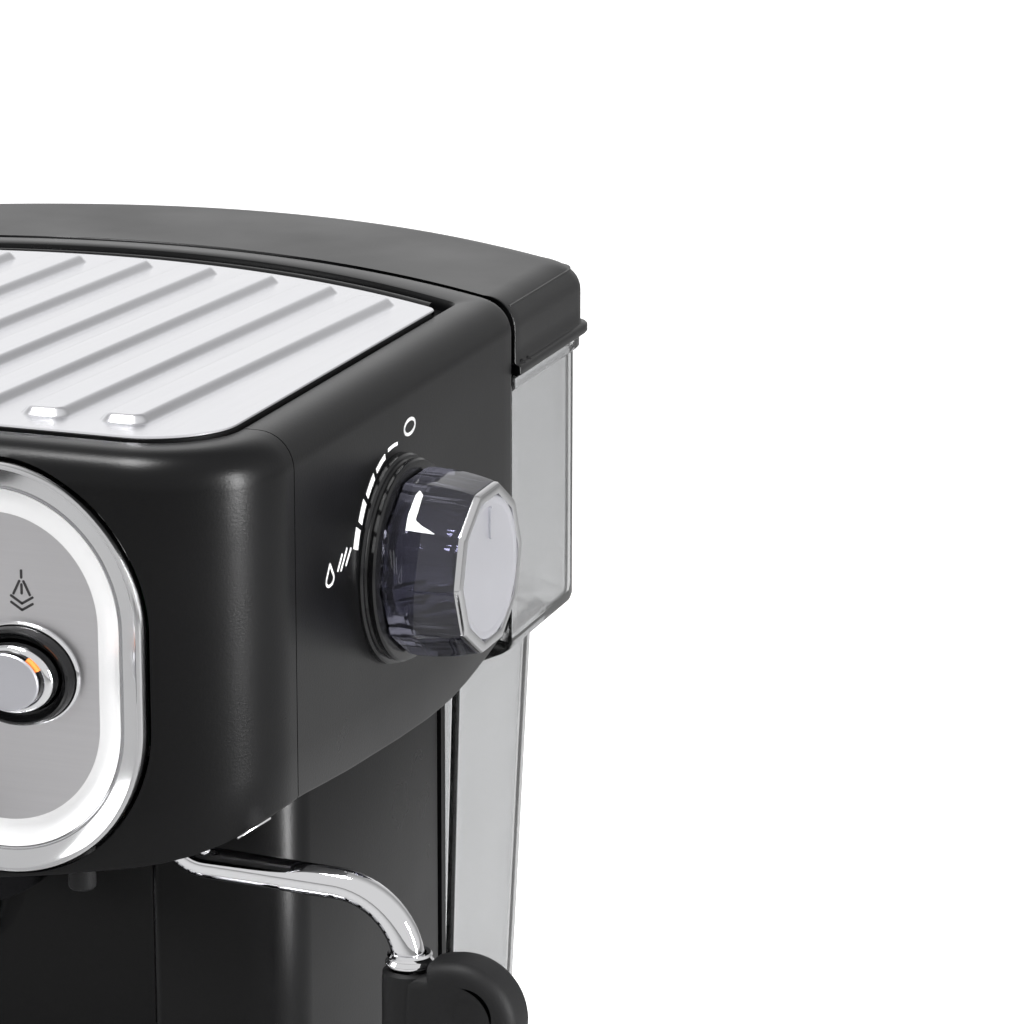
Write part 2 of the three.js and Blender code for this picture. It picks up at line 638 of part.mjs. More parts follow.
const alongHandle = (profile, y) => turnY(profile, 0, y, handleZ, 24, true);
add('handle_ferrule', alongHandle([[0, 0], [handleRadius - 2, 0], [handleRadius - 1, 1.5],
  [handleRadius - 1, 7], [0, 7]], neckEnd - gap), chrome());
add('filter_holder_handle', alongHandle([[0, 0], [handleRadius - 1, 0], [handleRadius - 2, 12],
  [handleRadius - 1, 45], [handleRadius, 78], [handleRadius - 1, 92], [handleRadius - 5, 99], [0, 101]],
neckEnd - 7 - 2 * gap), matteBlack());

// ---- Steam knob, valve and wand --------------------------------------------------------------
const knobSide = sideX(knobY, 0);
const skirtX = knobSide + gap + 1.3;
add('knob_skirt', turnX([[stemRadius + 2, 0], [knobSkirtRadius, 0], [knobSkirtRadius, 2.5],
  [knobSkirtRadius - 1.5, 3.5], [stemRadius + 2, 3.5], [stemRadius + 2, 0]], skirtX, knobY, knobZ, 28),
matteBlack());
const knobX = skirtX + 3.5 + gap;
const knobEnd = knobX + knobDepth;
function knobBody() {
  const shell = turnX([[stemRadius + gap, 0], [knobRadius, 0], [knobRadius, 2], [knobRadius - 0.6, 9],
    [knobCapRadius + 1, knobDepth - 3], [knobCapRadius - 1, knobDepth], [knobCapRadius - 3, knobDepth],
    [knobCapRadius - 3, knobDepth - 2], [stemRadius + gap, knobDepth - 2], [stemRadius + gap, 0]],
  knobX, knobY, knobZ, 24);
  return shell;
}
add('steam_knob', knobBody(), clear());
const capSeat = knobEnd - 2 + gap;
add('knob_cap', turnX([[0, 0], [knobCapRadius - 3 - gap, 0], [knobCapRadius - 3 - gap, 2.4], [0, 2.4]],
  capSeat, knobY, knobZ, 32), steel());
const valveInner = halfWidth - 42;
add('valve_stem', turnX([[0, 0], [stemRadius, 0], [stemRadius, capSeat - gap - valveInner - 12],
  [0, capSeat - gap - valveInner - 12]], valveInner + 12, knobY, knobZ, 16), brass());
add('steam_valve', block(valveInner - 16, valveInner + 11.5, knobY - 11, knobY + 11, knobZ - 11, knobZ + 11)
  .add(turnX([[stemRadius + gap, 0], [9, 0], [9, 12], [stemRadius + gap, 12], [stemRadius + gap, 0]],
    valveInner + 11, knobY, knobZ, 20)), brass());

add('wand_socket', hoop(8, 4.6, wandZ + 8, underLow + 8, wandX, wandY, 24), chrome());
const wandPoints = [[wandX, wandY, wandZ + 18], [wandX, wandY, wandZ + 9], [wandX + 1.8, wandY, wandZ + 2.6],
  [wandX + 8, wandY, wandZ], [wandX + 20, wandY, wandZ], [wandX + wandReach - wandBend, wandY, wandZ - 0.5],
  [wandX + wandReach - 3.6, wandY, wandZ - 4], [wandX + wandReach, wandY, wandZ - wandBend],
  [wandX + wandReach, wandY, gripTop - 10], [wandX + wandReach, wandY, wandLow + 30],
  [wandX + wandReach, wandY, wandLow + 10]];
add('steam_wand', rod(wandPoints, wandRadius, 32, 5), chrome());
const gripX = wandX + wandReach;
add('wand_collar', hoop(collarRadius, wandRadius + gap, gripTop + gap, gripTop + 3.5, gripX, wandY,
  24), chrome());
const lobe = turnY([[0, 0], [lobeRadius - 2, 0], [lobeRadius, 2], [lobeRadius, 10], [lobeRadius - 2, 12],
  [0, 12]], gripX + lobeOut, wandY - 6, gripTop - lobeDrop, 28);
add('wand_grip', disc(gripRadius, gripLow, gripTop, gripX, wandY, 24).add(lobe)
  .subtract(disc(wandRadius + 2 * gap, 0, 300, gripX, wandY, 16))
  .subtract(disc(collarRadius + gap, gripTop, 300, gripX, wandY, 24)), rubber());
add('wand_tip', hoop(6.5, wandRadius + gap, wandLow + 4, wandLow + 34, gripX, wandY, 24)
  .add(hoop(6.5, 1.5, wandLow, wandLow + 6, gripX, wandY, 24)), chrome());

// ---- Boiler, pump and plumbing -----------------------------------------------------------------
const boilerLow = groupTop + 8;
add('boiler', disc(36, boilerLow, boilerLow + 42, 0, groupY), finish(0x9a9a9c, 0.5, 0.8));
add('boiler_clamp_ring', hoop(41, 36 + gap, boilerLow + 14, boilerLow + 20, 0, groupY), steel());
add('thermostat', disc(9, boilerLow + 42 + gap, boilerLow + 52, 14, groupY, 20), brass());
add('group_neck', disc(20, groupTop + gap, boilerLow - gap, 0, groupY), finish(0x9a9a9c, 0.5, 0.8));
const pumpY = (bayRear + columnRear) / 2 + 1;
const pumpZ = baseTop + 54;
add('pump', turnX([[0, 0], [12, 0], [12, 14], [20, 14], [20, 44], [12, 44], [9, 58], [0, 58]],
  -34, pumpY, pumpZ, 24), finish(0x2b2b2d, 0.5, 0));
const bracketLow = baseTop + 4;
add('pump_bracket', block(-44, 34, pumpY - 20, pumpY + 20, bracketLow, bracketLow + 3)
  .add(block(-44, -41, pumpY - 20, pumpY + 20, bracketLow, pumpZ + 16))
  .subtract(turnX(rodProfile(13, 20), -50, pumpY, pumpZ, 20))
  .subtract(block(-10, 30, pumpY - 12, pumpY + 12, bracketLow - 5, bracketLow + 10)), steel());
const hoseTop = boilerLow + 34;
add('suction_hose', rod([[0, valveY - 13.4, spigotZ], [0, valveY - 20, spigotZ],
  [10, pumpY + 4, spigotZ + 2], [36, pumpY, pumpZ - 12]], 2.4, 12, 4), clear());
add('pressure_hose', rod([[-54, pumpY, pumpZ + 2], [-58, pumpY, pumpZ + 16], [-50, pumpY - 4, pumpZ + 58],
  [-34, pumpY - 10, headSideBottom - 2], [-30, bayRear + 16, hoseTop - 14], [-30, bayRear + 3, hoseTop - 2],
  [-30, groupY + 40, hoseTop]], 2.2, 24, 4), finish(0xe8e8e8, 0.4, 0));
add('steam_pipe', rod([[34, groupY + 18, boilerLow + 46], [44, groupY + 22, boilerLow + 56],
  [valveInner - 18, knobY, knobZ + 22], [valveInner - 10, knobY, knobZ + 19],
  [valveInner - 8, knobY, knobZ + 11.6]], 2, 16, 4), brass());
add('cord_gland', turnY([[0, 0], [7, 0], [7, 3], [4.5, 12], [0, 12]], 0, baseRear + baseBow + gap,
  26, 20), rubber());

// ---- Where the origin is ---------------------------------------------------------------------
const box = new THREE.Box3().setFromObject(machine);
machine.position.set(-(box.min.x + box.max.x) / 2, -(box.min.y + box.max.y) / 2, -box.min.z);

export default part;
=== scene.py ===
import json
import math

import bpy
import numpy as np
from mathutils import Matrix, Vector


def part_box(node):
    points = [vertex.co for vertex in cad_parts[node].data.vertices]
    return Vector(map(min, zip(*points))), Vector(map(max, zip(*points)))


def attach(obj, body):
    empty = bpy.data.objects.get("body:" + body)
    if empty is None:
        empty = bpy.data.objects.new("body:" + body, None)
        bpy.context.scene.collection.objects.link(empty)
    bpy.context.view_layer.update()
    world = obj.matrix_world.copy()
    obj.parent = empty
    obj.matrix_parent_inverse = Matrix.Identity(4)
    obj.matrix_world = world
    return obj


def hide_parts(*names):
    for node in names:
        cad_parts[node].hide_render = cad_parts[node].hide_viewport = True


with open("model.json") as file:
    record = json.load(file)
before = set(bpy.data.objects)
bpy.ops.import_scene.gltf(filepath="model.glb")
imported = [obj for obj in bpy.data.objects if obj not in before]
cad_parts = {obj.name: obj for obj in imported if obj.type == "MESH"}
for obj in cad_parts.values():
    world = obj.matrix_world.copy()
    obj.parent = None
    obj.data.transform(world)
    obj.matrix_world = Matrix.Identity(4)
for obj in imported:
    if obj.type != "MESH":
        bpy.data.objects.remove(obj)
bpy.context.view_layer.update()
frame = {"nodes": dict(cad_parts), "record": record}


# ---- Where the machine stands ----------------------------------------------------------------
# Shapes are worked out in millimetres about the machine's own middle plane, with the floor at
# zero, and place() carries them into the part's frame.
MM = 0.001
PANEL_FACE = -91.0
panel_low, panel_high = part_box("front_panel")
DATUM = np.array([(panel_low.x + panel_high.x) / 2 / MM, panel_low.y / MM - PANEL_FACE, 0.0])


def place(points):
    """Machine millimetres to metres in the part's frame: add the datum, then scale."""
    return (np.asarray(points, float) + DATUM) * MM


# ---- Sizes of the machine --------------------------------------------------------------------
HALF_WIDTH = 120.0
LEAN = 0.056
SEAM_Y = -57.0
SEAM_GAP = 0.4

HEAD_TOP = 290.0
HEAD_FRONT = -89.0
HEAD_REAR = 91.0
HEAD_BOW = 35.0
HEAD_CORNER = 27.0
FILLET_SIDE = 8.0
FILLET_FRONT = 7.0
WALL = 2.5
PLATE_TOP = 290.9
PLATE_FRONT = -75.5
PLATE_REAR = 71
PLATE_BOW = 32
PLATE_INSET = 13
PLATE_CORNER = 18
PLATE_SEAM = -56
RIB_TOP = 292.7
RIB_PITCH = 18.6
RIB_COUNT = 10
RIB_HALF = 6.2
RIB_FRONT = -66.5
RAIL_HALF = 2.1
RAIL_SPRING = 287.2
RAIL_FOOT = 286.4

PANEL_HALF = 100.0
PANEL_TALL = 44.5
PANEL_MIDDLE = 242.0
PANEL_CORNER = 34.0
FACE_Y = -88.2
SYMBOL_Z = 259.1
BUTTON_Z = 241.0
PRINT_LIFT = 0.08
SIDE_LIFT = 0.10
BUTTON_PITCH = 71.0
BUTTONS = (("power", -1), ("brew", 0), ("steam", 1))

GROUP_Y = -30.0
KNOB_Y = 5.0
KNOB_Z = 247.4
WAND_X = 92.0
WAND_Y = -62.0
WAND_Z = 194.2
DROP_X = 147.7

REAR_BOW = 38
LID_REAR = 148
LID_LOW = 271.0
TANK_TOP = 270.7
TANK_SHOULDER = 200.8
TANK_LOW = 62.0

BASE_INSET = 4
BASE_REAR = 134
BASE_BOW = 36
BASE_TOP = 58.0
TRAY_FRONT = -112
TRAY_CORNER = 24
HANDLE_Z = 168


# ---- Making surfaces -------------------------------------------------------------------------
class Form:
    """Points and faces of one piece, gathered surface by surface."""

    def __init__(self):
        self.points, self.faces, self.total = [], [], 0

    def skin(self, rows, loops=True, wrap=False, caps="rows"):
        """Quads between neighbouring rows of a grid of points. loops joins each row's end to its
        start, wrap joins the last row to the first, and caps closes the outer rows or columns with
        one polygon each. The signed volume, a sum of triple products, turns the faces outwards."""
        rows = np.asarray(rows, float)
        n, m = rows.shape[:2]
        index = np.arange(n * m).reshape(n, m)
        i = np.arange(n if wrap else n - 1)
        j = np.arange(m if loops else m - 1)
        corners = [index[np.ix_(i, j)], index[np.ix_(i, (j + 1) % m)],
                   index[np.ix_((i + 1) % n, (j + 1) % m)], index[np.ix_((i + 1) % n, j)]]
        quads = np.stack(corners, -1).reshape(-1, 4)
        ends = {"rows": [index[0][::-1], index[-1]],
                "columns": [index[:, 0], index[:, -1][::-1]], "": []}[caps]
        fans = [np.stack([np.full(len(e) - 2, e[0]), e[1:-1], e[2:]], -1) for e in ends]
        flat = rows.reshape(-1, 3)
        t = flat[np.concatenate([quads[:, [0, 1, 2]], quads[:, [0, 2, 3]]] + fans)]
        if np.einsum("ij,ij->", t[:, 0], np.cross(t[:, 1], t[:, 2])) < 0:
            quads, ends = quads[:, ::-1], [e[::-1] for e in ends]
        self.points.append(flat)
        self.faces += (quads + self.total).tolist() + [(e + self.total).tolist() for e in ends]
        self.total += len(flat)
        return self


def piece(name, form, finish, body="body", stands_for=(), crease=30.0):
    """A finished mesh from a form, riding on a CAD body; edges sharper than crease stay crisp."""
    mesh = bpy.data.meshes.new(name)
    mesh.from_pydata(place(np.concatenate(form.points)).tolist(), [], form.faces)
    mesh.shade_smooth()
    mesh.set_sharp_from_angle(angle=math.radians(crease))
    made = bpy.data.objects.new(name, mesh)
    bpy.context.scene.collection.objects.link(made)
    mesh.materials.append(finish)
    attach(made, body)
    if stands_for:
        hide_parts(*stands_for)
    return made


def carve(target, form, crease=40):
    """Takes the form's closed surfaces out of a flat plate, where openings cross its face."""
    mesh = bpy.data.meshes.new("opening")
    mesh.from_pydata(place(np.concatenate(form.points)).tolist(), [], form.faces)
    cutter = bpy.data.objects.new("opening", mesh)
    bpy.context.scene.collection.objects.link(cutter)
    cut = target.modifiers.new("opening", "BOOLEAN")
    cut.operation, cut.object, cut.solver = "DIFFERENCE", cutter, "EXACT"
    view = bpy.context.evaluated_depsgraph_get()
    cut_mesh = bpy.data.meshes.new_from_object(target.evaluated_get(view))
    target.modifiers.clear()
    target.data = cut_mesh
    target.data.set_sharp_from_angle(angle=math.radians(crease))
    bpy.data.objects.remove(cutter)


def unit(v):
    """Vectors scaled to length one."""
    return v / np.linalg.norm(v, axis=-1, keepdims=True)


def eased(points, reach, steps=6, closed=True):
    """A line of straight runs with each corner replaced by a circular arc: a rational quadratic
    curve that leaves and joins the sides `reach` from the corner, weighted by cos(half turn)."""
    p = np.asarray(points, float)
    k = np.arange(len(p)) if closed else np.arange(1, len(p) - 1)
    u, v = unit(p[k - 1] - p[k]), unit(p[(k + 1) % len(p)] - p[k])
    r = np.broadcast_to(np.asarray(reach, float), len(p))[k][:, None]
    w = np.sqrt(np.maximum(1 - np.sum(u * v, -1), 0) / 2)[:, None, None]
    t = np.linspace(0, 1, steps + 1)[None, :, None]
    a, c, b = (p[k] + u * r)[:, None], p[k][:, None], (p[k] + v * r)[:, None]
    side, mid, far = (1 - t) ** 2, 2 * w * t * (1 - t), t ** 2
    made = ((side * a + mid * c + far * b) / (side + mid + far)).reshape(-1, p.shape[1])
    return made if closed else np.concatenate([p[:1], made, p[-1:]])


def shrunk(points, reach, by):
    """A closed outline, drawn anticlockwise, with its sides moved inwards and its corners eased:
    corner = corner + by (n1 + n2) / (1 + n1.n2), with n1 and n2 the inward side normals."""
    p = np.asarray(points, float)
    ahead = unit(np.roll(p, -1, 0) - p)
    normal = np.stack([-ahead[:, 1], ahead[:, 0]], -1)
    back = np.roll(normal, 1, 0)
    moved = p + by * (back + normal) / (1 + np.sum(back * normal, -1, keepdims=True))
    before = np.roll(ahead, 1, 0)
    convex = np.sign(before[:, 0] * ahead[:, 1] - before[:, 1] * ahead[:, 0])
    return eased(moved, np.maximum(np.asarray(reach, float) - by * convex, 0.15), 7)


def stacked(outline, reach, levels):
    """Rows of one outline: each level gives how far in it is drawn and its height."""
    return np.stack([np.column_stack([xy, np.full(len(xy), z)])
                     for by, z in levels for xy in [shrunk(outline, reach, by)]])


def turned(profile, centre, axis="z", count=72, form=None, caps="rows"):
    """A profile of (radius, distance) pairs turned about an axis through the centre: radius times
    the cosine and sine of the angle, across the axis, plus the distance along it."""
    p = np.asarray(profile, float)
    a = np.linspace(0, 2 * np.pi, count, endpoint=False)
    across, over = np.outer(p[:, 0], np.cos(a)), np.outer(p[:, 0], np.sin(a))
    along = np.repeat(p[:, 1:2], count, 1)
    order = {"z": (across, over, along), "x": (along, across, over), "y": (over, along, across)}[axis]
    form = form or Form()
    return form.skin(np.stack(order, -1) + np.asarray(centre, float), caps=caps, wrap=caps == "")


def tube(path, radius, form=None, count=32, bore=0.0, bore_rows=8):
    """A round section carried along a path in a plane of constant y: centre plus radius times
    (cos a * y direction + sin a * the direction across the path). A bore opens its last end."""
    path = np.asarray(path, float)
    ahead = unit(np.gradient(path, axis=0))
    over = np.array([0.0, 1.0, 0.0])
    across = np.cross(ahead, over)
    a = np.linspace(0, 2 * np.pi, count, endpoint=False)[None, :, None]
    ring = np.cos(a) * over + np.sin(a) * across[:, None]
    size = np.broadcast_to(np.asarray(radius, float), len(path))[:, None, None]
    rows = path[:, None] + size * ring
    if bore:
        inner = path[:, None] + bore * ring
        rows = np.concatenate([rows, inner[::-1][:bore_rows]])
    return (form or Form()).skin(rows)


def capsules(lines, width, lay, lift, form=None):
    """Printed strokes: each line of points becomes flat bars with half-round ends, laid on a
    surface by lay(u, v, height)."""
    form = form or Form()
    a = np.linspace(-np.pi / 2, np.pi / 2, 9)
    for line in lines:
        line = np.asarray(line, float)
        for start, end in zip(line[:-1], line[1:]):
            d = unit(end - start)
            n = np.array([-d[1], d[0]])
            nose = np.outer(np.cos(a), d) + np.outer(np.sin(a), n)
            loop = np.concatenate([end + nose * width / 2, start - nose * width / 2])
            form.skin(np.stack([lay(loop[:, 0], loop[:, 1], np.full(len(loop), h)) for h in (-0.05, lift)]))
    return form


def side_x(y, inset=0.0):
    """Half width at depth y: the sides lean in by LEAN per millimetre towards the rear."""
    return HALF_WIDTH - (y - SEAM_Y) * LEAN - inset


def plan(front, rear, bow, inset, corner, share="whole", seam=SEAM_Y, rear_corner=2.5):
    """The machine's plan. Front: a straight line; corner: an arc tangent to the leaning side; rear:
    the parabola y = rear + bow (1 - (x / half)^2). share takes the loop ahead of the seam or behind."""
    lean = math.atan(LEAN)
    middle_y = front + corner
    middle_x = side_x(middle_y, inset) - corner * math.hypot(1, LEAN)
    a = np.linspace(-np.pi / 2, lean, 22)
    line = np.linspace(0, middle_x, 40)[:-1]
    ahead = np.concatenate([
        np.column_stack([line, np.full(len(line), front)]),
        np.column_stack([middle_x + corner * np.cos(a), middle_y + corner * np.sin(a)])])
    join = {"whole": seam, "front": seam - SEAM_GAP / 2, "rear": seam + SEAM_GAP / 2}[share]
    y = np.linspace(join, rear - rear_corner, 28)
    half = side_x(rear, inset)
    x = np.linspace(half - rear_corner, 0, 34)
    back = np.column_stack([x, rear + bow * (1 - (x / half) ** 2)])
    t = np.linspace(0, 1, 7)[1:-1, None]
    side = np.column_stack([side_x(y, inset), y])
    knee = np.array([half, rear])
    round_off = (1 - t) ** 2 * side[-1] + 2 * t * (1 - t) * knee + t ** 2 * back[0]
    mirror = np.array([-1.0, 1.0])
    if share == "front":
        half_loop = np.concatenate([ahead, side[:1]])
        return np.concatenate([(half_loop * mirror)[::-1][:-1], half_loop])
    behind = np.concatenate([side, round_off, back])
    if share == "rear":
        return np.concatenate([behind, (behind * mirror)[::-1][1:]])
    half_loop = np.concatenate([ahead, behind])
    return np.concatenate([half_loop, (half_loop * mirror)[::-1][1:-1]])


def rear_plan(front, front_bow, rear, bow, inset, corner=9.0, nose=1.0):
    """The plan of what stands behind the head: a front edge that follows the head's bowed rear,
    leaning sides, rounded rear corners and a bowed rear, each bow a parabola."""
    half = side_x(front, inset)
    x = np.linspace(0, half - nose, 34)
    ahead = np.column_stack([x, front + front_bow * (1 - (x / half) ** 2)])
    rear_half = side_x(rear, inset)
    y = np.linspace(front + nose, rear - corner, 14)
    side = np.column_stack([side_x(y, inset), y])
    span = rear_half - corner
    x = np.linspace(span, 0, 34)
    back = np.column_stack([x, rear + 0.75 * corner + (bow - 0.75 * corner) * (1 - (x / span) ** 2)])

    def knee(start, middle, end, count):
        t = np.linspace(0, 1, count + 2)[1:-1, None]
        return (1 - t) ** 2 * start + 2 * t * (1 - t) * np.array(middle) + t ** 2 * end

    half_loop = np.concatenate([ahead, knee(ahead[-1], (half, front), side[0], 3), side,
                                knee(side[-1], (rear_half, rear + 0.4 * corner), back[0], 10), back])
    return np.concatenate([half_loop, (half_loop * [-1.0, 1.0])[::-1][1:-1]])


def at_height(xy, z):
    """A plan outline raised to a height, which may differ from point to point."""
    return np.column_stack([xy, np.broadcast_to(z, len(xy))])


def smooth(t):
    """The S-shaped step 3 t^2 - 2 t^3 between 0 and 1."""
    t = np.clip(t, 0, 1)
    return t * t * (3 - 2 * t)


# ---- Finishes --------------------------------------------------------------------------------
def effect(name, inputs, outputs):
    """An empty shader node group with float or vector sockets."""
    group = bpy.data.node_groups.new(name, "ShaderNodeTree")
    for label, kind, value in inputs:
        group.interface.new_socket(label, in_out="INPUT", socket_type=kind).default_value = value
    for label in outputs:
        group.interface.new_socket(label, in_out="OUTPUT", socket_type="NodeSocketFloat")
    return group, group.nodes.new("NodeGroupInput"), group.nodes.new("NodeGroupOutput")


def join(tree, *pairs):
    """Links each pair of (node, its output) and (node, its input)."""
    for (source, given), (target, taken) in pairs:
        tree.links.new(source.outputs[given], target.inputs[taken])


def noise(tree, scale=None, detail=2.0, rough=0.5):
    """A noise texture node with the given scale, detail and roughness."""
    node = tree.nodes.new("ShaderNodeTexNoise")
    node.inputs["Detail"].default_value = detail
    node.inputs["Roughness"].default_value = rough
    if scale is not None:
        node.inputs["Scale"].default_value = scale
    return node


def make_grain():
    """Moulded grain: fine noise for the height, and slow noise for how the sheen drifts."""
    group, given, out = effect("moulded_grain", [("Scale", "NodeSocketFloat", 1400.0),
                                                 ("Drift Scale", "NodeSocketFloat", 25.0)],
                               ["Height", "Drift"])
    where = group.nodes.new("ShaderNodeTexCoord")
    fine, slow = noise(group, detail=3.0, rough=0.6), noise(group, detail=3.0)
    join(group, ((where, "Object"), (fine, "Vector")), ((where, "Object"), (slow, "Vector")),
         ((given, "Scale"), (fine, "Scale")), ((given, "Drift Scale"), (slow, "Scale")),
         ((fine, "Fac"), (out, "Height")), ((slow, "Fac"), (out, "Drift")))
    return group


def make_brushing():
    """Brushing: noise drawn out along one direction by stretching the coordinates."""
    group, given, out = effect("brushed_lines", [("Stretch", "NodeSocketVector", (1, 1, 1)),
                                                 ("Drift Scale", "NodeSocketFloat", 14.0)],
                               ["Lines", "Drift"])
    where = group.nodes.new("ShaderNodeTexCoord")
    drawn = group.nodes.new("ShaderNodeMapping")
    lines, slow = noise(group, 1.0, 4.0, 0.7), noise(group, detail=2.0)
    join(group, ((where, "Object"), (drawn, "Vector")), ((given, "Stretch"), (drawn, "Scale")),
         ((drawn, "Vector"), (lines, "Vector")), ((where, "Object"), (slow, "Vector")),
         ((given, "Drift Scale"), (slow, "Scale")), ((lines, "Fac"), (out, "Lines")),
         ((slow, "Fac"), (out, "Drift")))
    return group


GRAIN, BRUSHING = make_grain(), make_brushing()


def finish(name, colour, rough, metallic=0.0, grain=None, stretch=None, drift=25.0, tone=0.12,
           bump=0.2, depth=0.0001, **shader):
    """A procedural finish: colour and roughness drift between two close values, and a fine relief
    from moulded grain or brushing tips the normal."""
    made = bpy.data.materials.new(name)
    made.use_nodes = True
    tree = made.node_tree
    bsdf = tree.nodes["Principled BSDF"]
    source = tree.nodes.new("ShaderNodeGroup")
    source.node_tree = GRAIN if stretch is None else BRUSHING
    source.inputs["Drift Scale"].default_value = drift
    if stretch is None:
        source.inputs["Scale"].default_value = grain or 1400.0
    else:
        source.inputs["Stretch"].default_value = stretch
    height, slow = source.outputs[0], source.outputs[1]
    mix = tree.nodes.new("ShaderNodeMix")
    mix.data_type = "RGBA"
    base = np.array(colour[:3])
    mix.inputs["A"].default_value = (*np.clip(base * (1 - tone), 0, 1), 1)
    mix.inputs["B"].default_value = (*np.clip(base * (1 + tone), 0, 1), 1)
    tree.links.new(slow if stretch is None else height, mix.inputs["Factor"])
    join(tree, ((mix, "Result"), (bsdf, "Base Color")))
    spread = tree.nodes.new("ShaderNodeMapRange")
    spread.inputs["From Min"].default_value, spread.inputs["From Max"].default_value = 0.3, 0.7
    spread.inputs["To Min"].default_value, spread.inputs["To Max"].default_value = rough
    tree.links.new(slow, spread.inputs["Value"])
    join(tree, ((spread, "Result"), (bsdf, "Roughness")))
    relief = tree.nodes.new("ShaderNodeBump")
    relief.inputs["Strength"].default_value = bump
    relief.inputs["Distance"].default_value = depth
    tree.links.new(height, relief.inputs["Height"])
    join(tree, ((relief, "Normal"), (bsdf, "Normal")))
    bsdf.inputs["Metallic"].default_value = metallic
    for socket, value in shader.items():
        bsdf.inputs[socket.replace("_", " ")].default_value = value
    return made


SHELL_BLACK = finish("moulded_shell_black", (0.003, 0.003, 0.0033), (0.27, 0.33), grain=1700, tone=0.18,
                     bump=0.22, depth=0.00012, Specular_IOR_Level=0.19)
LID_GREY = finish("satin_lid_black", (0.005, 0.005, 0.0053), (0.34, 0.42), grain=1900, tone=0.15,
                  bump=0.2, depth=0.0001, Specular_IOR_Level=0.34)
GLOSS_BLACK = finish("polished_black", (0.006, 0.006, 0.0065), (0.14, 0.22), grain=900, drift=60, tone=0.2,
                     bump=0.05, depth=0.00005)
GRIP_BLACK = finish("soft_grip_black", (0.0065, 0.0065, 0.007), (0.5, 0.62), grain=2300, tone=0.15,
                    bump=0.28, depth=0.0001, Specular_IOR_Level=0.25)
RUBBER = finish("foot_rubber", (0.018, 0.018, 0.018), (0.72, 0.85), grain=1500, tone=0.25, bump=0.4,
                depth=0.00015)
PLATE_STEEL = finish("cup_plate_steel", (0.80, 0.80, 0.83), (0.20, 0.27), 1.0, stretch=(900, 18, 900),
                     tone=0.05, bump=0.10, depth=0.00003)
FACE_STEEL = finish("brushed_face_steel", (0.66, 0.65, 0.665), (0.26, 0.34), 1.0, stretch=(14, 900, 900),
                    tone=0.05, bump=0.12, depth=0.00003)
RIM_STEEL = finish("polished_rim_steel", (0.66, 0.66, 0.67), (0.10, 0.16), 1.0, stretch=(60, 300, 300),
                   tone=0.03, bump=0.05, depth=0.00002)
# Near-white steel with a diffuse share: a painted highlight that makes the panel's inner band read as its
# bright reflection.
BAND_STEEL_PAINTED_HIGHLIGHT = finish("band_steel_painted_highlight", (0.97, 0.97, 0.975), (0.26, 0.34), 0.55, stretch=(60, 300, 300),
                    tone=0.02, bump=0.05, depth=0.00002)
PRESSED_STEEL = finish("pressed_steel", (0.55, 0.55, 0.56), (0.28, 0.42), 1.0, stretch=(30, 700, 700),
                       tone=0.1, bump=0.15, depth=0.00004)
CHROME = finish("polished_chrome", (0.87, 0.87, 0.885), (0.03, 0.07), 1.0, grain=700, drift=40, tone=0.02,
                bump=0.03, depth=0.00002)
SATIN_SILVER = finish("satin_silver", (0.52, 0.52, 0.555), (0.30, 0.38), 0.75, grain=2500, drift=50,
                      tone=0.05, bump=0.08, depth=0.00004)
CLEAR_TANK = finish("clear_tank_wall", (0.67, 0.675, 0.68), (0.06, 0.11), grain=260, drift=30, tone=0.02,
                    bump=0.05, depth=0.0002, Transmission_Weight=1.0, IOR=1.46)
SMOKED = finish("smoked_clear", (0.17, 0.17, 0.215), (0.01, 0.03), grain=400, drift=60, tone=0.03,
                bump=0.02, depth=0.00005, Transmission_Weight=0.92, IOR=1.5)
WHITE_PRINT = finish("white_print", (0.86, 0.86, 0.86), (0.45, 0.55), grain=3000, tone=0.06, bump=0.1,
                     depth=0.00002)
DARK_PRINT = finish("dark_print", (0.02, 0.018, 0.02), (0.4, 0.5), grain=3000, tone=0.15, bump=0.1,
                    depth=0.00002)
ORANGE = finish("orange_lens", (0.95, 0.25, 0.05), (0.2, 0.3), grain=900, tone=0.1, bump=0.05,
                depth=0.00003, Emission_Color=(1.0, 0.3, 0.06, 1), Emission_Strength=0.2)
BRASS = finish("turned_brass", (0.62, 0.44, 0.17), (0.25, 0.36), 1.0, stretch=(600, 600, 40), tone=0.1,
               bump=0.12, depth=0.00003)
CAST_METAL = finish("cast_aluminium", (0.42, 0.42, 0.43), (0.42, 0.55), 0.9, grain=900, tone=0.15, bump=0.35,
                    depth=0.0002)
BOARD_GREEN = finish("board_green", (0.02, 0.10, 0.045), (0.35, 0.5), grain=500, tone=0.3, bump=0.2,
                     depth=0.0001)
HOSE_WHITE = finish("hose_white", (0.78, 0.78, 0.76), (0.35, 0.5), grain=1200, tone=0.06, bump=0.1,
                    depth=0.0001)

SLOT_FINISH = {
    "matte_black": SHELL_BLACK, "dark_grey": LID_GREY, "brushed_steel": PRESSED_STEEL, "chrome": CHROME,
    "clear_tank": CLEAR_TANK, "smoky_clear": SMOKED, "black_metal": GLOSS_BLACK, "rubber": RUBBER,
    "grip_black": GRIP_BLACK, "brass": BRASS, "aluminium": CAST_METAL, "board": BOARD_GREEN,
    "white_hose": HOSE_WHITE,
}
for part in frame["record"].get("subparts", []):
    kept = frame["nodes"].get(part["node"])
    if kept is not None:
        kept.data.materials.clear()
        kept.data.materials.append(SLOT_FINISH[part["material_slot"]])


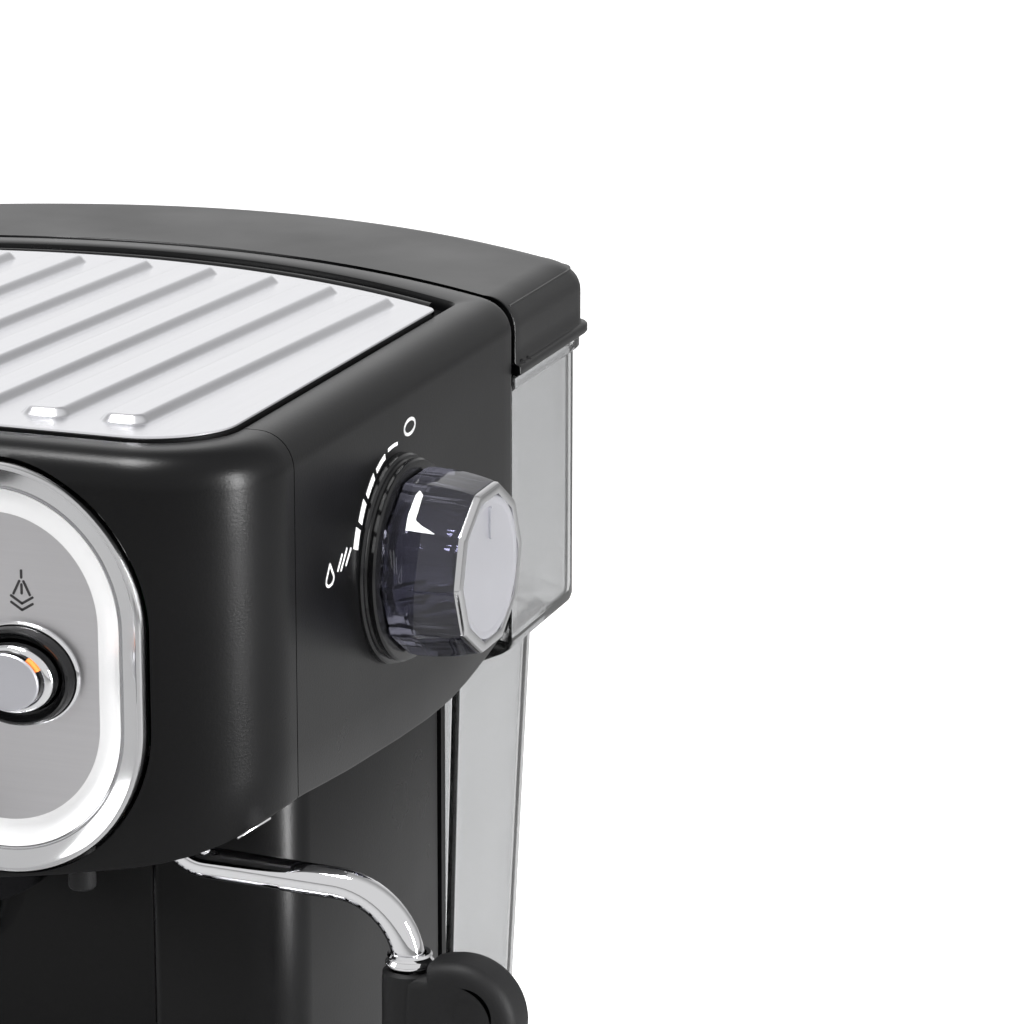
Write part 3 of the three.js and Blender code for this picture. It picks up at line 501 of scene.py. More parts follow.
# ---- Head ------------------------------------------------------------------------------------
FOOT_ACROSS = ((0, 193.8), (40, 193.9), (52, 194.2), (65, 195.2), (80, 197.7), (93, 200.5), (101, 202.1),
               (108, 203.8), (114, 206.0), (118, 208.4), (120.3, 209.8))
FOOT_ALONG = ((-57, 209.8), (-44, 208.3), (-25, 206.4), (8, 203.9), (28, 202.8), (44, 202.8), (58, 204.0),
              (73, 206.3), (83, 208.3), (87, 209.8), (89.5, 212.6), (91, 217.5))


def head_foot(xy):
    """Height of the head's lower edge, read between the points of two short tables: across the
    front it rises from the middle to the corners, and along the sides it dips and turns up."""
    across = np.interp(np.abs(xy[:, 0]), *np.transpose(FOOT_ACROSS))
    along = np.interp(xy[:, 1], *np.transpose(FOOT_ALONG))
    return np.where(xy[:, 1] < SEAM_Y + 0.5, across, along)


OPEN_FRONT, OPEN_REAR, OPEN_INSET, OPEN_CORNER = -76.5, 83.0, 12.2, 18.0


def head_shell(share):
    """One wall section carried round the head's plan: up the outside from the lower edge, over
    the rounded top, down into the cup plate's recess and back down the inside of the wall."""
    def row(front, rear, inset, corner, z):
        return at_height(plan(front, rear, HEAD_BOW, inset, corner, share), z)

    def wall(by, z):
        return row(HEAD_FRONT + by, HEAD_REAR - by, by, HEAD_CORNER - by, z)

    def recess(by, z):
        return row(OPEN_FRONT + by, OPEN_REAR - by, OPEN_INSET + by, OPEN_CORNER - by, z)

    foot = head_foot(plan(HEAD_FRONT, HEAD_REAR, HEAD_BOW, 0, HEAD_CORNER, share))
    shoulder = HEAD_TOP - FILLET_SIDE
    rows = [wall(WALL, foot), wall(0.8, foot), wall(0.25, foot + 0.2), wall(0, foot + 0.8)]
    rows += [wall(0, foot + 0.8 + (shoulder - foot - 0.8) * t) for t in (0.15, 0.35, 0.6, 0.85)]
    for a in np.linspace(0, np.pi / 2, 10):
        c, s = 1 - math.cos(a), 1 - math.sin(a)
        rows.append(row(HEAD_FRONT + FILLET_FRONT * c, HEAD_REAR - 0.9 * c, FILLET_SIDE * c,
                        HEAD_CORNER - 7.5 * c, HEAD_TOP - FILLET_SIDE * s))
    rows += [recess(-1.0, HEAD_TOP), recess(-0.3, HEAD_TOP - 0.25), recess(0, HEAD_TOP - 0.9),
             recess(0, 286.8), recess(4, 286.6), recess(4, 284.6), wall(WALL, 284.6)]
    return Form().skin(np.stack(rows), loops=False, wrap=True, caps="columns")


front_cover = piece("head_front_cover", head_shell("front"), SHELL_BLACK, "body", ["head_front_shell"],
                    40)
piece("head_side_cover", head_shell("rear"), SHELL_BLACK, "body", ["head_side_shell"], 40)


def rear_rail():
    """A half-round rail behind the cup plate: a small arch of section carried along the same
    bowed line as the plate's rear edge."""
    x = np.linspace(-94, 94, 60)[:, None]
    a = np.linspace(0, np.pi, 9)
    arch = np.column_stack([np.cos(a) * RAIL_HALF, RAIL_SPRING + np.sin(a) * 2.5])
    section = np.concatenate([arch, [[-RAIL_HALF, RAIL_FOOT], [RAIL_HALF, RAIL_FOOT]]])
    y = 78.6 + 33.2 * (1 - (x / 99) ** 2)
    return Form().skin(np.stack(np.broadcast_arrays(x, y + section[:, 0], section[:, 1]), -1))


piece("plate_rear_rail", rear_rail(), SHELL_BLACK, "body", crease=50)


def plate_row(by, z):
    """The cup plate's plan, drawn in by `by`, at height z."""
    return at_height(plan(PLATE_FRONT + by, PLATE_REAR - by, PLATE_BOW, PLATE_INSET + by,
                          PLATE_CORNER - by, seam=PLATE_SEAM), z)


def cup_plate():
    """The warming plate: a thin plan with a rolled edge, and ten pressed bars on it whose flanks
    follow an S-shaped rise from the plate to a flat top."""
    edge = [(1.0, -0.8), (0.2, -0.7), (0, -0.4), (0.15, -0.12), (0.6, 0), (1.2, 0)]
    form = Form().skin(np.stack([plate_row(by, PLATE_TOP + z) for by, z in edge]))
    half = side_x(PLATE_REAR, PLATE_INSET)
    rise = np.linspace(0, 1, 8)
    for i in range(RIB_COUNT):
        x = (i - (RIB_COUNT - 1) / 2) * RIB_PITCH
        rear = PLATE_REAR + PLATE_BOW * (1 - (x / half) ** 2) - 7
        outline = [(x - RIB_HALF, RIB_FRONT), (x + RIB_HALF, RIB_FRONT), (x + RIB_HALF, rear),
                   (x - RIB_HALF, rear)]
        foot = PLATE_TOP - 0.1
        levels = [(2.6 * t, foot + (RIB_TOP - foot) * float(smooth(t))) for t in rise]
        form.skin(stacked(outline, 4.2, levels + [(3.2, RIB_TOP)]))
    return form


def plate_gap_shade():
    """A flat-topped black loop just inside the plate's edge, which puts painted shade in the gap under the
    plate's edge.
    """
    low, high = 286.9, PLATE_TOP - 0.75
    return Form().skin(np.stack([plate_row(0.5, low), plate_row(0.5, high), plate_row(6, high),
                                 plate_row(6, low)]), wrap=True, caps="")


# A matt black loop as painted shade in the gap under the cup plate's edge.
piece("plate_gap_shade_ring", plate_gap_shade(), GRIP_BLACK, "body", crease=40)
piece("cup_plate", cup_plate(), PLATE_STEEL, "body", ["cup_warmer_plate"], 40)


# ---- Front panel -----------------------------------------------------------------------------
def rounded_loop(by, y):
    """The panel's rounded-rectangle outline, drawn in by `by`, at depth y."""
    corners = np.array([(-1, -1), (1, -1), (1, 1), (-1, 1)], float)
    xz = eased(corners * [PANEL_HALF - by, PANEL_TALL - by], PANEL_CORNER - by, 26)
    return np.column_stack([xz[:, 0], np.full(len(xz), y), PANEL_MIDDLE + xz[:, 1]])


def panel_rim():
    """The panel's polished surround: a narrow outer lip, a sloping band and a fine step."""
    rows = [(0.5, -87.4), (0, -87.8), (0, -90.3), (0.2, -90.75), (0.6, -90.98), (1.0, -90.95),
            (1.3, -90.75), (4.6, -89.75), (4.8, -89.35), (5.0, -89.3), (5.3, -89.75),
            (5.3, -87.4)]
    return Form().skin(np.stack([rounded_loop(by, y) for by, y in rows]), wrap=True, caps="")


def panel_band():
    """The inner band, whose near-white, partly diffuse steel is a painted highlight for the band's bright
    reflection: the hollow curve y = floor - depth (1 - t)^2 across the band.
    """
    t = np.linspace(0, 1, 9)
    hollow = [(5.45 + 5.55 * q, -88.2 - 1.5 * (1 - q) ** 2) for q in t]
    rows = [(5.45, -87.4)] + hollow + [(11.3, -87.9), (11.2, -87.4)]
    return Form().skin(np.stack([rounded_loop(by, y) for by, y in rows]), wrap=True, caps="")


carve(front_cover, Form().skin(np.stack([rounded_loop(-0.7, y) for y in (-93.0, -84.0)])))
piece("front_panel_rim", panel_rim(), RIM_STEEL, "body", crease=24)
piece("front_panel_band", panel_band(), BAND_STEEL_PAINTED_HIGHLIGHT, "body", crease=30)


def oval_loop(x, half_x, half_z, y, count=64):
    """An oval at depth y: x + half_x cos a across, button height + half_z sin a up."""
    a = np.linspace(0, 2 * np.pi, count, endpoint=False)
    return np.column_stack([x + half_x * np.cos(a), np.full(count, y), BUTTON_Z + half_z * np.sin(a)])


face_form = Form().skin(np.stack([rounded_loop(by, y) for by, y in
                                  ((10.9, -87.5), (10.9, -88.1), (11.0, FACE_Y))]))
face = piece("front_panel_face", face_form, FACE_STEEL, "body", ["front_panel"])
holes = Form()
for label, place_x in BUTTONS:
    holes.skin(np.stack([oval_loop(place_x * BUTTON_PITCH, 11.8, 9.6, y) for y in (-95, -80)]))
carve(face, holes)


def oval_form(x, stations, wrap=True):
    """Oval loops about a button's axis, each given by two half axes and a depth."""
    return Form().skin(np.stack([oval_loop(x, across, up, y, 72) for across, up, y in stations]),
                       wrap=wrap, caps="" if wrap else "rows")


def well_ring(x):
    """A button's well: a black bezel whose hollow slope runs from its lip down to the bore."""
    return oval_form(x, [(13.0, 10.5, -87.6), (13.0, 10.5, -91.2), (12.85, 10.35, -91.8), (12.5, 10.0, -92.1),
                         (12.1, 9.65, -92.0), (11.8, 9.35, -91.5), (11.3, 8.9, -90.6), (10.8, 8.4, -90.1),
                         (10.3, 8.0, -89.9), (10.2, 7.9, -89.4), (10.2, 7.9, -82), (11.6, 9.4, -82),
                         (11.6, 9.4, -87.6)])


def button_cap(x):
    """A polished cap: a straight oval barrel and a rounded shoulder that ends at the dark gap."""
    a = np.linspace(0, np.pi / 2, 8)
    shoulder = [(9.8 - 1.7 * (1 - math.cos(q)), 7.5 - 1.1 * (1 - math.cos(q)),
                 -92.4 - 1.5 * math.sin(q)) for q in a]
    return oval_form(x, [(2, 1.5, -79.2), (9.5, 7.2, -79.2), (9.8, 7.5, -79.6), (9.8, 7.5, -88)] + shoulder
                     + [(7.9, 6.2, -93.8), (7.7, 6.0, -93.2), (2, 1.5, -93.2)], wrap=False)


def button_disc(x):
    """The pale disc on the cap's front, with an eased rim and the faintest crown."""
    return oval_form(x, [(2, 1.6, -95.0), (7.3, 5.8, -95.0), (7.65, 6.15, -95.25), (7.7, 6.2, -95.6),
                         (7.45, 5.95, -95.9), (6.9, 5.4, -96.0), (4, 3, -96.02), (1, 0.8, -96.02)],
                     wrap=False)


def button_gap_shade(x):
    """A plain oval plug between cap and disc, in polished black: painted shade for the groove round the disc.
    """
    return oval_form(x, [(2, 1.6, -93.1), (7.35, 5.85, -93.1), (7.35, 5.85, -95.1), (2, 1.6, -95.1)],
                     wrap=False)


def well_edge(x):
    """A thin polished lip round the well: a half-round section on an oval."""
    return oval_form(x, [(13.0, 10.5, -87.8), (13.0, 10.5, -88.5), (13.25, 10.75, -88.9), (13.6, 11.1, -88.7),
                         (13.8, 11.3, -88.3), (13.8, 11.3, -87.8)])


def button_light(x):
    """A short lens in the dark gap: a small round section carried along an oval arc."""
    a = np.radians(np.linspace(26, 54, 14))
    b = np.linspace(0, 2 * np.pi, 10, endpoint=False)
    out = 0.55 * np.cos(b)
    rows = np.stack([x + np.outer(np.cos(a), 7.55 + out), np.tile(-94.3 + 0.55 * np.sin(b), (len(a), 1)),
                     BUTTON_Z + np.outer(np.sin(a), 6.05 + out)], -1)
    return Form().skin(rows)


for label, place_x in BUTTONS:
    x = place_x * BUTTON_PITCH
    own = f"{label}_button"
    piece(f"{own}_well", well_ring(x), GLOSS_BLACK, "body", [f"{own}_ring"], 35)
    piece(f"{own}_cap", button_cap(x), CHROME, own, [own], 35)
    piece(f"{own}_disc", button_disc(x), SATIN_SILVER, own)
    # The black plug is painted shade in the groove between cap and disc.
    piece(f"{own}_gap", button_gap_shade(x), GLOSS_BLACK, own)
    piece(f"{own}_edge", well_edge(x), CHROME, "body", crease=50)
    piece(f"{own}_light", button_light(x), ORANGE, own, crease=60)


def on_face(x0, z0):
    """Lays printed strokes on the panel's face about the point x0, z0."""
    return lambda u, v, h: np.column_stack([x0 + u, FACE_Y - h, z0 + v])


def on_side(u, v, h):
    """Lays printed strokes on the right side: u is the depth y, v the height."""
    return np.column_stack([side_x(u) + h, u, v])


def oval_line(cx, cz, across, up, start, end, count):
    """Points on an oval's arc: centre plus across times cos a, and up times sin a."""
    a = np.radians(np.linspace(start, end, count))
    return np.column_stack([cx + across * np.cos(a), cz + up * np.sin(a)])


STEAM_MARK = [[(0, 4.2), (0, 2.7)], [(-0.5, 1.9), (-1.9, -0.9)], [(0.5, 1.9), (1.9, -0.9)],
              [(0, 1.2), (0, -0.7)], [(-2.5, -1.4), (0, -2.9), (2.5, -1.4)],
              [(-2.5, -2.8), (0, -4.3), (2.5, -2.8)]]
CUP_MARK = [[(-2.4, 1.2), (-2.1, -1.4), (-1.0, -2.6), (1.0, -2.6), (2.1, -1.4), (2.4, 1.2), (-2.4, 1.2)],
            oval_line(2.9, -0.3, 1.1, 1.1, -80, 80, 9), [(-3.2, -3.8), (3.2, -3.8)],
            [(-0.9, 2.3), (-0.9, 3.9)], [(0.9, 2.3), (0.9, 3.9)]]
POWER_MARK = [oval_line(0, -0.6, 3.0, 3.0, 125, 415, 21), [(0, 0.2), (0, 3.9)]]
for label, mark, x in (("steam", STEAM_MARK, BUTTON_PITCH + 0.5), ("cup", CUP_MARK, 0),
                       ("power", POWER_MARK, -BUTTON_PITCH)):
    piece(f"{label}_symbol", capsules(mark, 0.55, on_face(x, SYMBOL_Z), PRINT_LIFT), DARK_PRINT)


def arc_bars(bars, cy, cz, lay, lift, form):
    """Printed bars on an arc: each has start and end angles, a middle radius and a width."""
    for start, end, radius, width in bars:
        a = np.radians(np.linspace(start, end, 9))
        r = np.concatenate([np.full(9, radius + width / 2), np.full(9, radius - width / 2)])
        turn = np.concatenate([a, a[::-1]])
        u, v = cy + r * np.cos(turn), cz + r * np.sin(turn)
        form.skin(np.stack([lay(u, v, h) for h in (-0.05, lift)]))
    return form


DIAL_BARS = ((85, 99, 26.0, 0.8), (103.5, 117, 25.5, 1.3), (121, 134, 25.6, 1.9), (137.5, 149, 26.1, 2.5),
             (152, 162, 26.7, 3.0))
STROKES = [[(-23.5, 256.6), (-26.5, 253.8)], [(-26.0, 257.2), (-29.6, 253.4)],
           [(-29.0, 256.6), (-31.6, 253.8)]]
DROP = np.concatenate([oval_line(-36.5, 252.9, 2.4, 1.3, -200, 20, 11), [(-36.5, 256.4)]])
dial = arc_bars(DIAL_BARS, KNOB_Y, KNOB_Z, on_side, SIDE_LIFT, Form())
for strokes, width in (([oval_line(15.5, 275.4, 3.6, 1.7, 0, 360, 25)], 0.75), (STROKES, 0.7),
                       ([np.concatenate([DROP, DROP[:1]])], 0.65)):
    capsules(strokes, width, on_side, SIDE_LIFT, dial)
piece("steam_dial_marks", dial, WHITE_PRINT, "body")


# ---- Lid and tank ----------------------------------------------------------------------------
def lid():
    """The tank's lid: a thin skin whose plan steps out into a flange at its foot and draws in
    over a quarter-round at the sides and the rear, with only a small round along its front."""
    def row(front, inset, rear, z):
        return at_height(rear_plan(92.4 + front, HEAD_BOW, LID_REAR - rear, REAR_BOW, inset,
                                   5 + 0.3 * inset), z)

    rows = [row(2, 2, 2, 287.8), row(2, 2, 2, 284), row(2, 2, 2, 273), row(1.2, 1.2, 1.2, LID_LOW + 0.1),
            row(0.3, -1.1, -1.1, LID_LOW), row(0, -1.4, -1.4, LID_LOW + 0.4), row(0, -1.4, -1.4, 273.0),
            row(0, -1.1, -1.1, 273.4), row(0, -0.4, -0.4, 273.6), row(0, 0, 0, 274.2), row(0, 0, 0, 278)]
    for a in np.linspace(0, np.pi / 2, 12):
        c, s = 1 - math.cos(a), 1 - math.sin(a)
        rows.append(row(0.9 * c, FILLET_SIDE * c, FILLET_SIDE * c, HEAD_TOP - FILLET_SIDE * s))
    rows.append(row(1.4, FILLET_SIDE + 0.5, FILLET_SIDE + 0.5, HEAD_TOP))
    return Form().skin(np.stack(rows))


piece("tank_lid_cover", lid(), LID_GREY, "lid", ["tank_lid"], 40)


def tank():
    """The tank's wall: the lower part draws in towards its foot, in proportion to the depth
    below the shoulder, an eased step carries it out to the upper part, and the inside follows
    two and a half millimetres in."""
    def upper(by, z):
        return at_height(rear_plan(93.9 + by, HEAD_BOW, LID_REAR - 1.5 - by, REAR_BOW, 1.5 + by, 5), z)

    def lower(by, z):
        xy = rear_plan(76.0 + by, 0.0, 136 - by, 36, 9 + by, 7)
        depth = (TANK_SHOULDER - z) * 0.028
        share = np.maximum((xy[:, 1] - 76) / 60, 0)
        return at_height(np.column_stack([xy[:, 0] * (1 - depth / 100), xy[:, 1] - 2.4 * depth * share]), z)

    def step(t, by, z):
        return (1 - t) * lower(by, z) + t * upper(by, z)

    rows = [lower(3.2, TANK_LOW), lower(1.6, 62.3), lower(0.5, 63.2), lower(0, 64.8)]
    rows += [lower(0, z) for z in (80, 110, 140, 170, 192, 198.8)]
    rows += [step(0.06, 0, 200.1), step(0.2, 0, 200.7), step(0.8, 0, 201.0), step(0.95, 0, 201.5),
             upper(0, 202.9)]
    rows += [upper(0, z) for z in (225, 250, 266.5)]
    rows += [upper(-0.9, 267.3), upper(-1.3, 267.8), upper(-1.3, 270.2), upper(-0.9, TANK_TOP),
             upper(1.6, TANK_TOP), upper(WALL, 270.0), upper(WALL, 250), upper(WALL, 225), upper(WALL, 205.3)]
    rows += [step(0.95, WALL, 203.9), step(0.8, WALL, 203.5), step(0.2, WALL, 203.2), step(0.04, WALL, 201.7)]
    rows += [lower(WALL, z) for z in (192, 170, 140, 110, 80, 67)] + [lower(3.4, 65.4), lower(5.4, 64.6)]
    return Form().skin(np.stack(rows))


piece("tank_wall", tank(), CLEAR_TANK, "tank", ["water_tank"], 35)

HINGE_Y, HINGE_Z = 189.4, 271.0


def barrel(x0, x1, form=None):
    """A hinge knuckle: a short tube turned about the pin, with eased rims."""
    half = [(1.8, 0.3), (2.5, 0.1), (2.9, 0.5)]
    profile = [(r, x0 + d) for r, d in half] + [(r, x1 - d) for r, d in half[::-1]]
    return turned(profile, (0, HINGE_Y, HINGE_Z), "x", 28, form, caps="")


def web(x0, x1, z0, z1, form):
    """The leaf between a knuckle and the wall: a slim block with eased edges."""
    outline = [(x0, 183.5), (x1, 183.5), (x1, 189.4), (x0, 189.4)]
    return form.skin(stacked(outline, 0.5, [(0.4, z0), (0, z0 + 0.4), (0, z1 - 0.4), (0.4, z1)]))


piece("lid_knuckle", web(-11.7, 11.7, 271.4, 273.8, barrel(-11.7, 11.7)), LID_GREY, "lid")
outer_knuckles = barrel(12, 22, barrel(-22, -12))
for x0 in (-22, 12):
    web(x0, x0 + 10, 268.1, 270.5, outer_knuckles)
piece("tank_knuckles", outer_knuckles, CLEAR_TANK, "tank")
catches = Form()
for side in (-1, 1):
    for y, r in ((97.0, 1.9), (101.6, 1.7)):
        x = side_x(y) - 1.6
        profile = [(0.3, side * (x - 0.6)), (r, side * (x - 0.6)), (r, side * (x + 2.0)),
                   (r - 0.6, side * (x + 2.7)), (0.3, side * (x + 2.8))]
        turned(profile, (0, y, 272.4), "x", 24, catches)
piece("lid_catches", catches, GRIP_BLACK, "lid", crease=40)


# ---- Steam knob ------------------------------------------------------------------------------
def knob_skirt():
    """The knob's collar: a stepped disc turned about the valve axis."""
    profile = [(5.8, 115.4), (23.9, 115.4), (23.9, 118.4), (23.5, 118.9), (22.9, 119.0), (22.7, 119.5),
               (22.9, 119.9), (23.0, 120.9), (22.6, 121.4), (21.6, 121.6), (5.8, 121.6)]
    return turned(profile, (0, KNOB_Y, KNOB_Z), "x", 96, caps="")


piece("knob_collar", knob_skirt(), GLOSS_BLACK, "body", ["knob_skirt"], 35)

FACETS = 10


def facetted(profile, inner, first_edge=math.radians(3), steps=8):
    """A turned profile with flat facets: the radius at angle a is apothem / cos(a within its
    facet), so each facet is a straight chord; a tenth of the chord at each edge is eased. The
    inner profile stays round."""
    share = np.concatenate([[0.0, 0.035], np.linspace(0.12, 0.88, steps), [0.965]])
    facet = 2 * np.pi / FACETS
    local = np.tile(share * facet, FACETS)
    a = np.repeat(np.arange(FACETS) * facet, len(share)) + local + first_edge
    chord = np.cos(facet / 2) / np.cos(local - facet / 2)
    chord = chord - 0.004 * np.exp(-(np.minimum(local, facet - local) / (0.05 * facet)) ** 2)
    rows = []
    for line, reach in ((profile, chord), (inner, np.ones(len(a)))):
        p = np.asarray(line, float)
        r = p[:, 0:1] * reach[None]
        rows.append(np.stack([np.repeat(p[:, 1:2], len(a), 1), KNOB_Y + r * np.cos(a),
                              KNOB_Z + r * np.sin(a)], -1))
    return Form().skin(np.concatenate(rows), wrap=True, caps="")


KNOB_OUT = [(20.6, 122.0), (21.1, 122.4), (21.3, 124.5), (21.2, 128.0), (20.8, 132.0), (20.2, 135.5),
            (19.5, 138.4), (19.2, 138.9), (18.6, 139.0)]
KNOB_IN = [(17.0, 138.9), (16.6, 138.2), (15.6, 137.9), (15.2, 137.0), (14.4, 126.5), (14.0, 122.2)]
piece("steam_knob_body", facetted(KNOB_OUT, KNOB_IN), SMOKED, "steam_knob", ["steam_knob"],
      16)
core = turned([(4.6, 122.3), (13.4, 122.3), (13.6, 123.0), (12.2, 125), (9.6, 129), (9.0, 131.5), (10.0, 134),
               (13.4, 136.9), (13.6, 137.5), (4.6, 137.5)], (0, KNOB_Y, KNOB_Z), "x", 48, caps="")
piece("steam_knob_core", core, CHROME, "steam_knob", crease=35)
rim = facetted([(19.35, 138.6), (19.3, 139.3), (19.0, 139.8), (18.6, 140.0), (17.2, 140.1), (16.7, 139.9),
                (16.6, 138.6)], [(16.9, 138.5)])
piece("steam_knob_rim", rim, RIM_STEEL, "steam_knob", crease=30)
knob_disc = turned([(0.8, 138.1), (16.0, 138.1), (16.3, 138.4), (16.3, 139.3), (16.0, 139.75), (15.4, 139.85),
                    (14.6, 139.6), (14.2, 139.55), (0.8, 139.75)], (0, KNOB_Y, KNOB_Z), "x", 96)
pointer = [(KNOB_Y, KNOB_Z + 7.6), (KNOB_Y, KNOB_Z + 13.0)]
capsules([pointer], 2.0, lambda u, v, h: np.column_stack([139.6 + h, u, v]), 0.55, knob_disc)
piece("steam_knob_disc", knob_disc, SATIN_SILVER, "steam_knob", ["knob_cap"], 35)


# ---- Steam wand ------------------------------------------------------------------------------
wand_line = [(WAND_X, WAND_Y, 213), (WAND_X, WAND_Y, WAND_Z + 0.6), (DROP_X, WAND_Y, WAND_Z - 0.9),
             (DROP_X, WAND_Y, 104)]
wand_path = eased(wand_line, [0, 9, 16.5, 0], 16, closed=False)
piece("wand_tube", tube(wand_path, 3.5, count=40), CHROME, "wand", ["steam_wand"], 60)
collar = turned([(3.6, 177.5), (4.6, 177.4), (5.2, 177.9), (5.25, 178.6), (4.7, 179.2), (4.75, 179.7),
                 (4.9, 180.1), (4.5, 180.6), (3.6, 180.5)], (DROP_X, WAND_Y, 0), "z", 48, caps="")
piece("wand_ring", collar, CHROME, "wand", ["wand_collar"], 50)

LOBE_X, LOBE_Z, LOBE_R = 160.1 - DROP_X, 167.6, 13.3


def grip_sleeve():
    """The sleeve round the tube: a turned profile with eased rims."""
    profile = [(4.2, 146.2), (5.2, 146.0), (5.8, 146.8), (6.0, 149), (6.0, 174.5), (5.8, 176.4),
               (5.0, 177.0), (4.2, 176.8)]
    return turned(profile, (DROP_X, WAND_Y, 0), "z", 64, caps="")


def grip_lobe(form):
    """The thumb lobe: rows step across its thickness; each is a loop that follows the round lobe
    and runs in to the sleeve, drawn in at both faces by a quarter-round; the faces dip in a
    round thumb hollow."""
    a = np.linspace(-2.30, 1.66, 52)
    cx, cz = DROP_X + LOBE_X, LOBE_Z
    arc = np.column_stack([cx + LOBE_R * np.cos(a), cz + LOBE_R * np.sin(a)])
    inner = [DROP_X, 0] + np.array([[8.5, 180.5], [5.7, 179.6], [5.6, 177.2], [0.6, 176.4], [-0.4, 168.0],
                                    [0.3, 160.0]])
    loop = np.concatenate([arc, inner])
    centre = np.array([cx - 2, cz])
    edge = np.linspace(0, np.pi / 2, 7)
    levels = [(3.2 * (1 - math.cos(q)), 6.0 - 3.2 * (1 - math.sin(q))) for q in edge]
    outer = [(centre + (loop - centre) * (1 - by / LOBE_R), h) for by, h in levels]
    hub = np.array([cx + 2.6, cz + 2.6])
    face_rows = []
    for share in (0.8, 0.62, 0.50, 0.42, 0.36, 0.31, 0.26, 0.21, 0.15, 0.08):
        ring = centre + (loop - centre) * (1 - 3.2 / LOBE_R)
        mix = smooth((0.8 - share) / 0.42)
        away = loop - hub
        circle = hub + unit(away) * (share * 13.0)
        flat = hub + (ring - hub) * share
        xy = (1 - mix) * flat + mix * circle
        dip = 0.6 * smooth((0.42 - share) / 0.2)
        face_rows.append((xy, 6.0 - dip))
    rows = outer + face_rows
    front, back = ([np.column_stack([xy[:, 0], np.full(len(xy), WAND_Y + way * h), xy[:, 1]])
                    for xy, h in rows] for way in (-1, 1))
    return form.skin(np.stack(front[::-1] + back))


piece("wand_grip_body", grip_lobe(grip_sleeve()), GRIP_BLACK, "wand", ["wand_grip"], 38)
tip = turned([(3.6, 130.4), (5.2, 130.5), (6.1, 129.9), (6.5, 128.8), (6.5, 126.5), (6.2, 126.1),
              (6.5, 125.7), (6.5, 103), (6.1, 101), (5.2, 98.4), (3.9, 96.6), (2.2, 96.0), (1.4, 96.2),
              (1.4, 101.5), (3.6, 102.2)],
             (DROP_X, WAND_Y, 0), "z", 56, caps="")
piece("wand_nozzle", tip, CHROME, "wand", ["wand_tip"], 32)
socket = turned([(4.7, 202.5), (7.2, 202.3), (7.9, 202.9), (8.0, 204), (8.0, 215.4), (7.6, 215.8),
                 (4.7, 215.8)], (WAND_X, WAND_Y, 0), "z", 48, caps="")
piece("wand_seat", socket, CHROME, "body", ["wand_socket"], 35)


# ---- Column, base and drip tray --------------------------------------------------------------
COLUMN_FRONT, COLUMN_REAR, BAY_HALF, BAY_REAR = -33.0, 69.8, 72.0, 17.0


def column():
    """The column's wall carried round its plan, which steps back in a deep bay in the middle."""
    front, rear = side_x(COLUMN_FRONT, 12), side_x(COLUMN_REAR, 12)
    outline = [(-front, COLUMN_FRONT), (-BAY_HALF, COLUMN_FRONT), (-BAY_HALF, BAY_REAR), (BAY_HALF, BAY_REAR),
               (BAY_HALF, COLUMN_FRONT), (front, COLUMN_FRONT), (rear, COLUMN_REAR), (-rear, COLUMN_REAR)]
    reach = [14, 3, 16, 16, 3, 14, 3, 3]
    levels = [(0.5, 58.3), (0, 58.9), (0, 100), (0, 150), (0, 207.0), (0.5, 207.7), (WALL, 207.7),
              (WALL, 150), (WALL, 100), (WALL, 58.3)]
    return Form().skin(stacked(outline, reach, levels), wrap=True, caps="")


piece("column_cover", column(), SHELL_BLACK, "body", ["column_shell"], 40)

SPLIT_Y, TONGUE_Y, TONGUE_HALF = -37.0, 13.0, 69.5


def bay_plan(front, split, wide, deep):
    """The plan of what lies ahead of the base: leaning sides, then a tongue of half width
    `wide` that runs on to `deep`. split is the depth where the sides are read and end."""
    ahead, near = side_x(front, BASE_INSET), side_x(split[0], BASE_INSET)
    return [(-ahead, front), (ahead, front), (near, split[1]), (wide, split[1]), (wide, deep), (-wide, deep),
            (-wide, split[1]), (-near, split[1])]


def base_body():
    """The base behind the drip tray, and the low floor plate under the tray. The rear edge is
    the parabola of the plan, sampled, and both solids have eased edges."""
    rear_x = side_x(BASE_REAR, BASE_INSET)
    x = np.linspace(rear_x - 1, -rear_x + 1, 41)
    bow = np.column_stack([x, BASE_REAR + BASE_BOW * (1 - (x / rear_x) ** 2)])
    split, wide, deep = SPLIT_Y + 0.3, TONGUE_HALF + 0.3, TONGUE_Y + 0.3
    near = side_x(split, BASE_INSET)
    outline = np.concatenate([[(-wide, deep), (wide, deep), (wide, split), (near, split)], bow,
                              [(-near, split), (-wide, split)]])
    reach = np.concatenate([[2, 2, 2, 1.2], [3], np.full(39, 0.6), [3], [1.2, 2]])
    levels = [(2.2, 8.0), (0.8, 8.5), (0.2, 9.4), (0, 10.6), (0, 34), (0, 55.6), (0.3, 56.9), (1.0, 57.7),
              (2.2, BASE_TOP)]
    form = Form().skin(stacked(outline, reach, levels))
    floor_plan = bay_plan(TRAY_FRONT, (split, SPLIT_Y + 1), TONGUE_HALF + 1.3, TONGUE_Y + 1.3)
    return form.skin(stacked(floor_plan, [TRAY_CORNER] * 2 + [1] * 6, [
        (1.4, 8.0), (0.3, 8.4), (0, 9.2), (0, 11.3), (0.3, 11.8), (0.9, 12.0)]))


piece("base_cover", base_body(), SHELL_BLACK, "body", ["base_housing"], 38)


